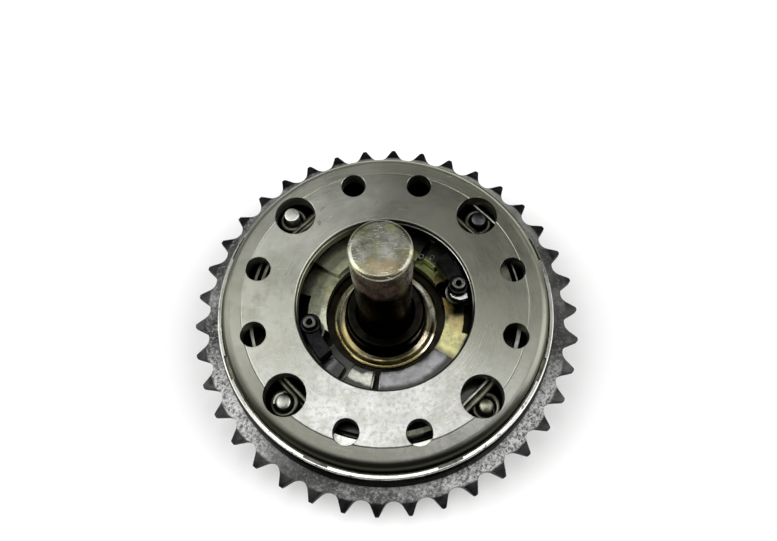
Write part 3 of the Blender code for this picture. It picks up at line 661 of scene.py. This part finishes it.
def make_sprocket():
    bottom, top = low("sprocket"), high("sprocket")
    wheel = prism("sprocket_wheel", tooth_outline(), bottom - CLEAR, top + CLEAR, SPROCKET)
    shares = (0, 0.12, 0.25, 0.4, 0.55, 0.7, 0.85, 1)
    side = [(ROOT_FACE_R + 3.9 * MM * t, 1.5 * MM * t ** 1.25) for t in shares]
    profile = [(0, bottom), *[(r, bottom + d) for r, d in side]]
    profile += [*[(r, top - d) for r, d in reversed(side)], (0, top)]
    disc = bmesh.new()
    turned_into(disc, profile, WIDE)
    cut(wheel, disc, "INTERSECT")
    drill(wheel, [AXIS], 48.7 * MM, bottom - CLEAR, top + CLEAR, WIDE)
    place(bevelled(wheel, 0.12 * MM, 2, 40), DRIVE, "black_steel", "sprocket")


def make_drum():
    base, floor, ledge, mouth = low("drum") + 2 * MM, 9.6 * MM, 22.0 * MM, 48.6 * MM
    seat = high("sprocket") + 0.3 * MM
    groove_r, groove_low, groove_high = 49.6 * MM, 23.7 * MM, 25.0 * MM
    profile = [
        (21.5 * MM, low("drum"), 0.4 * MM),
        (21.5 * MM, base, 0.3 * MM),
        (48.4 * MM, base, 0.4 * MM),
        (48.4 * MM, seat),
        (reach("drum"), seat, 0.3 * MM),
        (50.4 * MM, 22.6 * MM, 0.8 * MM),
        (49.75 * MM, RIM_TOP - 0.15 * MM, 0.1 * MM),
        (49.55 * MM, RIM_TOP, 0.1 * MM),
        (mouth, RIM_TOP, 0.12 * MM),
        (mouth, groove_high),
        (groove_r, groove_high),
        (groove_r, groove_low),
        (mouth, groove_low),
        (mouth, ledge),
        (46.2 * MM, ledge, 0.2 * MM),
        (46.2 * MM, floor, 1.2 * MM),
        (18.3 * MM, floor, 0.3 * MM),
        (18.3 * MM, low("drum"), 0.3 * MM),
    ]
    drum = turned("drum_shell", rounded(profile, steps=4), DRUM, WIDE)
    notches = bmesh.new()
    for angle in LUGS:
        outline = rounded(sector(47.6 * MM, 49.25 * MM, angle - 4.4, angle + 4.4, 6), 0.3 * MM)
        prism_into(notches, outline, ledge + 0.1 * MM, RIM_TOP + CLEAR)
    cut(drum, notches)
    drill(drum, [middle(node) for node in REAR_SCREWS], 2.2 * MM, base, floor)
    pins = [middle(name) for name in ("pivot_pin_a", "pivot_pin_b", "tail_post_a", "tail_post_b")]
    drill(drum, pins, 2.1 * MM, base, floor)
    place(drum, DRIVE, "drum_steel", "drum")


def make_cover():
    bottom, top = low("cover_plate"), high("cover_plate")
    underside, drop, lug_top = top - 5 * MM, 0.16 * MM, 23.5 * MM
    ledge_r = BORE_R - 0.25 * MM
    shoulder = arc(SIDE_R - FLAT_R, 0, 80, 14, (FLAT_R, top - drop - 2.4 * MM))
    profile = [
        (46.4 * MM, bottom, 0.1 * MM),
        (48.3 * MM, bottom, 0.15 * MM),
        (48.3 * MM, lug_top, 0.25 * MM),
        (SIDE_R, lug_top, 0.1 * MM),
        *shoulder,
        (FLAT_R, top - drop, 0.3 * MM),
        (GROOVE_R + 0.17 * MM, top, 0.05 * MM),
        (GROOVE_R, top - 0.14 * MM, 0.04 * MM),
        (GROOVE_R - 0.17 * MM, top, 0.05 * MM),
        (BORE_R + 0.35 * MM, top, 0.2 * MM),
        (BORE_R, top - 0.45 * MM, 0.2 * MM),
        (BORE_R, top - 1.5 * MM, 0.04 * MM),
        (ledge_r, top - 1.65 * MM, 0.06 * MM),
        (ledge_r, underside, 0.2 * MM),
        (46.4 * MM, underside, 0.8 * MM),
    ]
    cover = turned("cover_plate_ring", rounded(profile, steps=4), COVER, WIDE)
    lugs = bmesh.new()
    for angle in LUGS:
        outline = sector(47.2 * MM, 49.0 * MM, angle - 4.2, angle + 4.2, 6)
        prism_into(lugs, outline, bottom + 0.1 * MM, lug_top - 0.1 * MM)
    cut(cover, lugs, "UNION")
    holes = bmesh.new()
    edge = 0.18 * MM
    for angles, radius in ((SMALL_HOLES, 3.7 * MM), (LARGE_HOLES, 6.1 * MM)):
        profile = [
            (0, underside - CLEAR),
            (radius, underside - CLEAR),
            (radius, top - edge),
            (radius + 0.04 * MM, top - 0.1 * MM),
            (radius + edge, top + 0.02 * MM),
            (radius + 2 * edge, top + CLEAR),
            (0, top + CLEAR),
        ]
        for angle in angles:
            spot = at(HOLE_CIRCLE, angle)
            turned_into(holes, profile, 64, spot)
    cut(cover, holes)
    place(cover, DRIVE, "turned_steel", "cover_plate")


def make_snap_ring():
    node = "cover_snap_ring"
    outline = rounded(sector(48.2 * MM, 49.28 * MM, 8, 352, 160), 0.3 * MM)
    ring = prism("snap_ring", outline, low(node), high(node), WIRE)
    place(bevelled(ring, 0.12 * MM), DRIVE, "spring_steel", node)


def make_rear_cover():
    front, back, wheel = 3.5 * MM, 6.7 * MM, high("rear_cover")
    profile = [
        (30 * MM, 0, 0.4 * MM),
        (37.2 * MM, 0, 0.2 * MM),
        (38 * MM, 0.8 * MM, 0.2 * MM),
        (38 * MM, front, 0.5 * MM),
        (53.2 * MM, front, 0.3 * MM),
        (54 * MM, 4.3 * MM, 0.3 * MM),
        (54 * MM, wheel, 0.25 * MM),
        (48.8 * MM, wheel, 0.2 * MM),
        (48.8 * MM, back, 0.2 * MM),
        (24 * MM, back, 0.3 * MM),
        (24 * MM, front, 0.3 * MM),
        (30 * MM, front, 0.5 * MM),
    ]
    cover = turned("rear_plate", rounded(profile, steps=4), REAR, WIDE)
    drill(cover, [middle(node) for node in REAR_SCREWS], 2.2 * MM, front, 7 * MM)
    drill(cover, [middle("locating_dowel")], 2.3 * MM, front, 7 * MM)
    place(cover, DRIVE, "drum_steel", "rear_cover")


def make_rear_screws():
    head_top = 3.2 * MM
    for number, node in enumerate(REAR_SCREWS, 1):
        bottom, top = low(node), high(node)
        profile = [
            (0, bottom),
            (3.5 * MM, bottom, 0.5 * MM),
            (3.5 * MM, head_top, 0.15 * MM),
            (1.9 * MM, head_top, 0.1 * MM),
            (1.9 * MM, top, 0.3 * MM),
            (0, top),
        ]
        centre = middle(node)
        screw = turned(f"cap_{node}", rounded(profile), SCREW, 48, centre)
        socket = arc(1.75 * MM, 20 * number, 20 * number + 300, 5, centre)
        mill(screw, socket, bottom - CLEAR, bottom + 1.5 * MM)
        place(bevelled(screw, 0.08 * MM), DRIVE, "dark_steel", node)


def make_dowel_and_bearings():
    node = "locating_dowel"
    bottom, top = low(node), high(node)
    profile = rounded([(0, bottom), (2 * MM, bottom, 0.4 * MM), (2 * MM, top, 0.4 * MM), (0, top)])
    dowel = turned("dowel", profile, PIN, 48, middle(node))
    place(dowel, DRIVE, "ground_steel", node)
    for node in ("hub_bush", "rear_thrust_washer"):
        profile = rounded(section(node, 14.3 * MM, reach(node)), 0.2 * MM)
        place(turned(node + "_ring", profile, BRONZE, ROUND), DRIVE, "bronze", node)


def make_pins():
    """Riveted pin ends. Some are peened flat and bright, others are rounded. The olive and the dark ends are
    darker as painted shade, the olive one also oiled.
    """
    ends = {
        "pivot_pin_a": (PIN, 0.15 * MM, 0),
        # The olive and the dark finishes below are painted shade.
        "pivot_pin_b": (OLIVE_PIN, 0.8 * MM, 2.6 * MM),
        "tail_post_a": (PIN_END, 0.5 * MM, 0),
        "tail_post_b": (DARK_PIN, 0.4 * MM, 0),
    }
    shank, full, foot = 1.8 * MM, 2.19 * MM, 9.9 * MM
    for node, (finish, dome, shorter) in ends.items():
        bottom, top = low(node), high(node) - shorter
        turns = [radians(10 * i) for i in range(9)]
        profile = [(0, bottom), (shank, bottom), (shank, foot), (full, foot)]
        profile += [(full * cos(a), top - dome * (1 - sin(a))) for a in turns]
        pin = turned(node + "_rod", [*profile, (0, top)], finish, 64, middle(node))
        place(pin, DRIVE, "ground_steel", node)


def make_springs():
    """The wire of each coil, with a lower leg on the flyweight and an upper leg on the wall."""
    wire_r, coil_r, turns, pitch, steps = 0.8 * MM, 3.5 * MM, 2, 1.85 * MM, 48
    legs = {"pivot": (14 * MM, 15 * MM), "tail": (7 * MM, 13 * MM)}
    for letter in FLYWEIGHT:
        for kind, pin in (("pivot", "pivot_pin"), ("tail", "tail_post")):
            node = f"{kind}_spring_{letter}"
            centre = middle(f"{pin}_{letter}")
            centre.z = 0
            inboard = degrees(atan2(centre.y, centre.x)) + 180
            start_z = low(node) + wire_r
            coil = []
            for i in range(steps * turns + 1):
                turn = i / steps
                coil.append(centre + at(coil_r, inboard + 360 * turn, start_z + pitch * turn))
            along = at(1, inboard - 90)
            weight_leg, wall_leg = legs[kind]
            points = [coil[0] + along * weight_leg, coil[0] + along * weight_leg * 0.3, *coil]
            points += [coil[-1] - along * wall_leg * 0.3, coil[-1] - along * wall_leg]
            place(wire(node + "_wire", points, wire_r, WIRE), DRIVE, "spring_steel", node)


def make_spring_bars():
    """Straight ends of the springs that show in the large holes, and the strips behind the small ones."""
    # Each bar by its pin, its distance inboard of it, its radius and half its length in mm.
    bars = [
        ("pivot_pin_a", 3.9, 0.62, 9, WIRE),
        ("pivot_pin_a", 5.15, 0.62, 9, WIRE),
        ("pivot_pin_b", 3.2, 0.95, 7.5, WIRE),
        ("pivot_pin_b", 4.85, 0.62, 9, LIT_WIRE),
        ("tail_post_b", -3.0, 0.5, 9, LIT_WIRE),
        ("tail_post_b", 4.2, 0.75, 9, WIRE),
        ("tail_post_a", 4.9, 0.7, 9, WIRE),
    ]
    for number, (pin, offset, radius, half, finish) in enumerate(bars, 1):
        centre = middle(pin)
        centre.z = SPRING_LEVEL
        angle = degrees(atan2(centre.y, centre.x))
        line = centre + at(offset * MM, angle + 180)
        along = at(half * MM, angle - 90)
        points = [line + along * k / 6 for k in range(-6, 7)]
        place(wire(f"spring_bar_{number}", points, radius * MM, finish), DRIVE, "spring_steel")
    bend = arc(2.75 * MM, 95, 190, 24, middle("tail_post_a"))
    hook = [Vector((x, y, SPRING_LEVEL)) for x, y in bend]
    place(wire("spring_hook", hook, 0.6 * MM, PIN_END), DRIVE, "spring_steel")
    # Each strip by its hole's angle, and its inner and outer radius in mm.
    strips = [
        (195, 39.5, 40.5, LIT_WIRE),
        (345, 39.4, 40.6, LIT_WIRE),
        (165, 37.6, 38.6, WIRE),
        (165, 39.8, 40.7, WIRE),
        (15, 35.2, 39.0, WIRE),
        (15, 40.3, 40.8, LIT_WIRE),
        (255, 39.6, 44.5, PIN),
        (285, 40.8, 44.5, PIN),
        (285, 37.0, 38.6, WIRE),
    ]
    for number, (angle, inner, outer, finish) in enumerate(strips, 1):
        outline = rounded(sector(inner * MM, outer * MM, angle - 8, angle + 8, 12), 0.2 * MM)
        strip = prism(f"spring_strip_{number}", outline, STRIP_LEVEL, STRIP_LEVEL + 0.4 * MM, finish)
        place(bevelled(strip, 0.1 * MM), DRIVE, "spring_steel")


# ---------------- hub side


def make_hub():
    bottom, collar = low("hub"), high("hub")
    journal, bore, seat_r = 14 * MM, 8.45 * MM, 5.3 * MM
    flange = (11 * MM, 14 * MM)
    profile = [
        (11.4 * MM, bottom, 0.3 * MM),
        (journal, bottom, 0.4 * MM),
        (journal, 3.4 * MM),
        (13.2 * MM, 3.4 * MM),
        (13.2 * MM, 4.7 * MM),
        (journal, 4.7 * MM),
        (journal, flange[0], 0.3 * MM),
        (reach("hub"), flange[0], 0.4 * MM),
        (reach("hub"), flange[1], 0.4 * MM),
        (12 * MM, flange[1], 0.3 * MM),
        (12 * MM, collar - 0.8 * MM, 0.3 * MM),
        (11.2 * MM, collar, 0.25 * MM),
        (8.9 * MM, collar, 0.25 * MM),
        (bore, collar - 0.5 * MM, 0.2 * MM),
        (bore, 12 * MM),
        (seat_r, 12 * MM),
        (seat_r, 9 * MM),
        (11.4 * MM, 9 * MM, 0.4 * MM),
    ]
    hub = turned("hub_flange", rounded(profile, steps=4), BLACK, 128)
    mill(hub, bar(KEYWAY_HALF, 6 * MM, 10.1 * MM), HUB_FRONT, collar + CLEAR)
    posts = [at(POST_CIRCLE, POST_ANGLE + turn) for turn in (0, 180)]
    drill(hub, posts, 1.8 * MM, *flange)
    place(hub, HUB, "dark_steel", "hub")


def make_shaft():
    bottom, top = low("shaft"), high("shaft")
    main, neck, thread, thread_top = 8.15 * MM, 7.95 * MM, 5 * MM, 12.3 * MM
    edge_r = 1.3 * MM
    edge = arc(edge_r, 4, 88, 12, (main - edge_r, top - edge_r))
    ridges = []
    for i in range(14):
        z = 1.9 * MM + 0.75 * MM * i
        ridges += [(thread, z), (thread - 0.4 * MM, z + 0.375 * MM)]
    profile = [
        (0, bottom),
        (thread - 0.5 * MM, bottom),
        *ridges,
        (thread, thread_top),
        (main, thread_top, 0.3 * MM),
        (main, 24.1 * MM, 0.05 * MM),
        (neck, 24.3 * MM, 0.05 * MM),
        (neck, 54.6 * MM, 0.05 * MM),
        (main, 54.8 * MM, 0.05 * MM),
        *edge,
        (0, top),
    ]
    shaft = turned("shaft_rod", rounded(profile), SHAFT, 160)
    mill(shaft, bar(KEYWAY_HALF, 6.3 * MM, 12 * MM), HUB_FRONT, 20.3 * MM)
    place(shaft, HUB, "ground_steel", "shaft")


def make_hub_fittings():
    node = "hub_key"
    key = prism("key", bar(1.5 * MM, 6.6 * MM, 9.8 * MM), low(node), high(node), DARK)
    place(bevelled(key, 0.15 * MM), HUB, "dark_steel", node)
    node = "shaft_washer"
    washer = rounded(section(node, 5.3 * MM, reach(node)), 0.2 * MM)
    place(turned("washer", washer, GREY, ROUND), HUB, "ground_steel", node)
    node = "hub_circlip"
    outline = rounded(sector(13.5 * MM, 17 * MM, 30, 330, 80), 0.4 * MM)
    circlip = prism("circlip", outline, low(node), high(node), WIRE)
    place(bevelled(circlip, 0.12 * MM), HUB, "spring_steel", node)
    node = "thrust_ring"
    bottom, top = low(node), high(node)
    dish = [
        (12.6 * MM, bottom, 0.1 * MM),
        (16 * MM, bottom, 0.1 * MM),
        (16 * MM, top - 0.2 * MM, 0.15 * MM),
        (15.3 * MM, top, 0.2 * MM),
        (13.9 * MM, top - 0.32 * MM, 0.9 * MM),
        (12.6 * MM, top - 0.05 * MM, 0.2 * MM),
    ]
    place(turned("dished_ring", rounded(dish, steps=6), BRONZE, 128), HUB, "bronze", node)


def make_nut():
    """The nut on the shaft's thread, with one chamfered face and a countersunk hole."""
    bottom, top = low("shaft_nut"), high("shaft_nut")
    across, hole = 9.8 * MM, 5.3 * MM
    nut = prism("nut", arc(across, 0, 300, 5), bottom, top, SCREW)
    cone = bmesh.new()
    chamfer = [(0, bottom), (8.5 * MM, bottom), (across, bottom + 0.75 * MM), (across, top), (0, top)]
    turned_into(cone, chamfer, ROUND)
    cut(nut, cone, "INTERSECT")
    countersink = [
        (0, bottom - CLEAR),
        (6.2 * MM, bottom - CLEAR),
        (hole, bottom + 0.5 * MM),
        (hole, top + CLEAR),
        (0, top + CLEAR),
    ]
    tap = bmesh.new()
    turned_into(tap, countersink, 48)
    cut(nut, tap)
    place(bevelled(nut, 0.1 * MM), HUB, "dark_steel", "shaft_nut")


def make_post(letter, turn):
    node = f"drive_post_{letter}"
    centre = at(POST_CIRCLE, POST_ANGLE + turn)
    bottom, top = low(node), high(node)
    hole, step = 0.85 * MM, 14.3 * MM
    profile = [
        (0, bottom),
        (1.5 * MM, bottom, 0.1 * MM),
        (1.5 * MM, step),
        (1.95 * MM, step, 0.05 * MM),
        (1.95 * MM, top, 0.4 * MM),
        (hole, top, 0.35 * MM),
        (hole, top - 6 * MM),
        (0, top - 6 * MM),
    ]
    post = turned(f"post_{letter}", rounded(profile, steps=5), POST, 64, centre)
    place(post, HUB, "spring_steel", node)
    node = f"post_clip_{letter}"
    facing = POST_ANGLE + turn + 20
    outline = arc(2.27 * MM, facing + 35, facing + 325, 30, centre)
    outline += arc(3.48 * MM, facing + 325, facing + 35, 30, centre)
    clip = prism(f"clip_{letter}", rounded(outline, 0.2 * MM), low(node), high(node), GREY)
    place(bevelled(clip, 0.1 * MM), HUB, "ground_steel", node)


def make_arm(letter, turn):
    """The eye round a drive post, and the curved band that leads from it."""
    node = f"post_arm_{letter}"
    bottom, top = low(node), high(node)
    spot = at(POST_CIRCLE, POST_ANGLE + turn)
    eye = rounded([(0, bottom), (3.08 * MM, bottom, 0.3 * MM), (3.08 * MM, top, 0.5 * MM), (0, top)])
    arm = turned(f"arm_{letter}", eye, DARK, 64, spot)
    band = sector(20.55 * MM, 24.65 * MM, POST_ANGLE + turn + 3, 41.9 + turn, 24)
    mill(arm, rounded(band, 0.8 * MM), bottom + 0.2 * MM, top - 0.6 * MM, "UNION")
    drill(arm, [spot], 2.25 * MM, bottom, top)
    place(bevelled(arm, 0.2 * MM), HUB, "dark_steel", node)


def make_post_tab():
    """The folded lug beside the right drive post."""
    corners = [(19.6, 12), (24.6, 10.5), (24.9, 5.5), (22.4, 4.2), (19.8, 7.5)]
    outline = rounded([at(radius * MM, angle).xy for radius, angle in corners], 0.6 * MM, 5)
    tab = prism("post_tab", outline, TAB_LEVEL, TAB_LEVEL + 0.8 * MM, TAB)
    place(bevelled(tab, 0.25 * MM, 3), HUB, "spring_steel")


# ---------------- flyweights


def turned_about(point, centre, angle):
    return centre + Matrix.Rotation(radians(angle), 3, "Z") @ (point - centre)


def weight_slot():
    """The slot that the drive post slides along as the flyweight swings."""
    ends = []
    for share in (0, 1):
        post = turned_about(at(POST_CIRCLE, POST_ANGLE + 180), AXIS, ADVANCE * share)
        ends.append(turned_about(post, at(PIVOT_CIRCLE, PIVOT_ANGLE), SWING * share))
    start, end = ends
    along = degrees(atan2(end.y - start.y, end.x - start.x))
    half_width = 2.45 * MM
    outline = arc(half_width, along - 90, along + 90, 24, end)
    return outline + arc(half_width, along + 90, along + 270, 24, start)


def weight_outline():
    pivot = at(PIVOT_CIRCLE, PIVOT_ANGLE)
    outer = arc(39.4 * MM, 85.5, PIVOT_ANGLE - 7.5, 40)
    outer += arc(4.28 * MM, PIVOT_ANGLE - 100, PIVOT_ANGLE + 100, 40, pivot)
    outer += arc(40.1 * MM, PIVOT_ANGLE + 7.5, 204, 50)
    outer += arc(32.6 * MM, 213, 241, 24)
    outer += arc(38.4 * MM, 247, 260.9, 12)
    return rounded(outer + arc(18.15 * MM, 260.9, 85.5, 110), 0.5 * MM)


def nose_outline():
    inner, outer, end, bulge, steps = 18.55 * MM, 35.75 * MM, 141.0, 3.4, 24
    outline = arc(outer, 87, end, 36)
    for i in range(1, steps):
        share = i / steps
        point = at(outer + (inner - outer) * share, end + bulge * sin(pi * share))
        outline.append(point.xy)
    return rounded(outline + arc(inner, end, 87, 36), 0.4 * MM)


def tail_outline():
    outline = arc(31.75 * MM, 208, 241, 24)
    outline += arc(37.75 * MM, 247, 260.1, 12)
    outline += arc(18.55 * MM, 260.1, 241, 16)
    outline += arc(27 * MM, 240.2, 236.8, 4)
    outline += arc(20.5 * MM, 236, 223, 12)
    return rounded(outline + arc(27 * MM, 221, 208.1, 12), 1.2 * MM, 5)


def make_weight_pieces():
    """Flyweight a's plate, blocks, bush and peg, each with its slot and its node."""
    bottom, top = low("weight_plate_a"), high("weight_plate_a")
    pivot, peg = middle("pivot_pin_a"), middle("spring_peg_a")
    plate = prism("plate_a", weight_outline(), bottom, top, PLATE)
    drill(plate, [pivot], 3.7 * MM, bottom, top)
    drill(plate, [peg], 1.2 * MM, bottom, top)
    mill(plate, weight_slot(), bottom - CLEAR, top + CLEAR)
    window = rounded(sector(23.8 * MM, 29.5 * MM, 166, 187, 16), 0.8 * MM)
    mill(plate, window, bottom - CLEAR, top + CLEAR)
    low_block, high_block = low("nose_block_a"), high("nose_block_a")
    nose = prism("nose_a", nose_outline(), low_block, high_block, PLATE)
    tail = prism("tail_a", tail_outline(), low_block, high_block, PLATE)
    for block, name in ((nose, "nose"), (tail, "tail")):
        holes = [middle(f"{name}_rivet_{number}_a") for number in (1, 2)]
        for pierced in (block, plate):
            drill(pierced, holes, 1.6 * MM, bottom, high_block)
    node = "pivot_bush_a"
    bush = rounded(section(node, 2.5 * MM, 3.4 * MM), 0.15 * MM)
    bush = turned("bush_a", bush, BRONZE, 64, pivot)
    node = "spring_peg_a"
    shank, full, step = 0.9 * MM, 1.2 * MM, 18.9 * MM
    profile = [(0, low(node)), (shank, low(node)), (shank, step), (full, step)]
    profile += [(full, high(node), 0.4 * MM), (0, high(node))]
    peg = turned("peg_a", rounded(profile), PIN, 48, peg)
    return [
        (bevelled(plate, 0.2 * MM), "oiled_steel", "weight_plate"),
        (bevelled(nose, 0.25 * MM), "ground_steel", "nose_block"),
        (bevelled(tail, 0.45 * MM, 3), "ground_steel", "tail_block"),
        (bush, "bronze", "pivot_bush"),
        (peg, "ground_steel", "spring_peg"),
    ]


def make_weight_rivets():
    """Flyweight a's rivets, each with its slot and its node."""
    shank, head_r, head = 1.3 * MM, 2.1 * MM, 0.9 * MM
    turns = [radians(8 * i) for i in range(11)]
    pieces = []
    for node in [f"{block}_rivet_{number}" for block in ("nose", "tail") for number in (1, 2)]:
        bottom, top = low(node + "_a"), high(node + "_a")
        dome = [(head_r * cos(a), top - head * (1 - sin(a))) for a in turns]
        profile = [(0, bottom), (shank, bottom), (shank, top - head), *dome, (0, top)]
        rivet = turned(node + "_body_a", profile, GREY, 48, middle(node + "_a"))
        pieces.append((rivet, "ground_steel", node))
    return pieces


def make_flyweights():
    for piece, slot, node in make_weight_pieces() + make_weight_rivets():
        other = half_turn(piece, piece.name[:-1] + "b")
        place(piece, FLYWEIGHT["a"][0], slot, node + "_a")
        place(other, FLYWEIGHT["b"][0], slot, node + "_b")


def make_dimples():
    """Two small punched eyes on the right flyweight's tail block."""
    foot = high("tail_block_b") + 0.02 * MM
    crest = foot + 0.28 * MM
    profile = [
        (0.45 * MM, foot),
        (1.1 * MM, foot, 0.1 * MM),
        (0.85 * MM, crest, 0.12 * MM),
        (0.5 * MM, crest, 0.1 * MM),
    ]
    for number, (radius, angle) in enumerate(((21.0, 58.6), (22.7, 50.7)), 1):
        centre = at(radius * MM, angle)
        eye = turned(f"punched_eye_{number}", rounded(profile), POST, 40, centre)
        place(eye, FLYWEIGHT["b"][0], "ground_steel")


# ---------------- the unit, the floor and the studio


def make_unit():
    make_sprocket()
    make_drum()
    make_cover()
    make_snap_ring()
    make_rear_cover()
    make_rear_screws()
    make_dowel_and_bearings()
    make_pins()
    make_springs()
    make_spring_bars()
    make_hub()
    make_shaft()
    make_hub_fittings()
    make_nut()
    for letter, (_, turn) in FLYWEIGHT.items():
        make_post(letter, turn)
        make_arm(letter, turn)
    make_post_tab()
    make_flyweights()
    make_dimples()


def make_floor():
    s = Shader("pale_floor")
    colour = s.ramp(s.noise(3, 2), (0.3, (0.90, 0.90, 0.895)), (0.7, (0.92, 0.92, 0.915)))
    bm = bmesh.new()
    bmesh.ops.create_grid(bm, x_segments=1, y_segments=1, size=3.0)
    floor = add_object("floor", bm, s.finish(colour, 0.9))
    floor.location.z = -0.5 * MM


def make_light(name, location, size, radiance):
    """A rectangular light aimed at the unit, by its width, depth and radiance."""
    data = bpy.data.lights.new(name, "AREA")
    data.shape = "RECTANGLE"
    data.size, data.size_y = size
    data.energy = radiance * pi * size[0] * size[1]
    lamp = linked(name, data)
    lamp.location = location
    lamp.rotation_euler = Vector(location).to_track_quat("Z", "Y").to_euler()


def make_studio():
    scene = bpy.context.scene
    scene.world = bpy.data.worlds.new("studio")
    scene.world.use_nodes = True
    background = scene.world.node_tree.nodes["Background"]
    background.inputs["Color"].default_value = (0.98, 1.0, 1.0, 1)
    background.inputs["Strength"].default_value = 0.12
    make_light("softbox", (-0.06, 0.115, 1.0), (0.5, 0.27), 3.25)
    make_light("far_softbox", (-0.42, 0.42, 1.0), (0.4, 0.4), 0.8)
    make_light("left_bank", (-1.5, 0.0, 1.1), (1.6, 2.4), 3.7)
    make_light("right_bank", (1.5, 0.0, 1.1), (1.6, 2.4), 3.7)
    scene.view_settings.view_transform = "Standard"


def make_camera():
    """A camera above the front edge, tipped about 21 degrees from straight down."""
    data = bpy.data.cameras.new("camera")
    data.lens = 35.395
    data.clip_start = 0.01
    camera = linked("camera", data)
    camera.location = (6.554 * MM, -71.464 * MM, 240.986 * MM)
    camera.rotation_euler = [radians(angle) for angle in (21.0966, 1.246, 0.6604)]
    bpy.context.scene.camera = camera


make_unit()
make_floor()
make_studio()
make_camera()
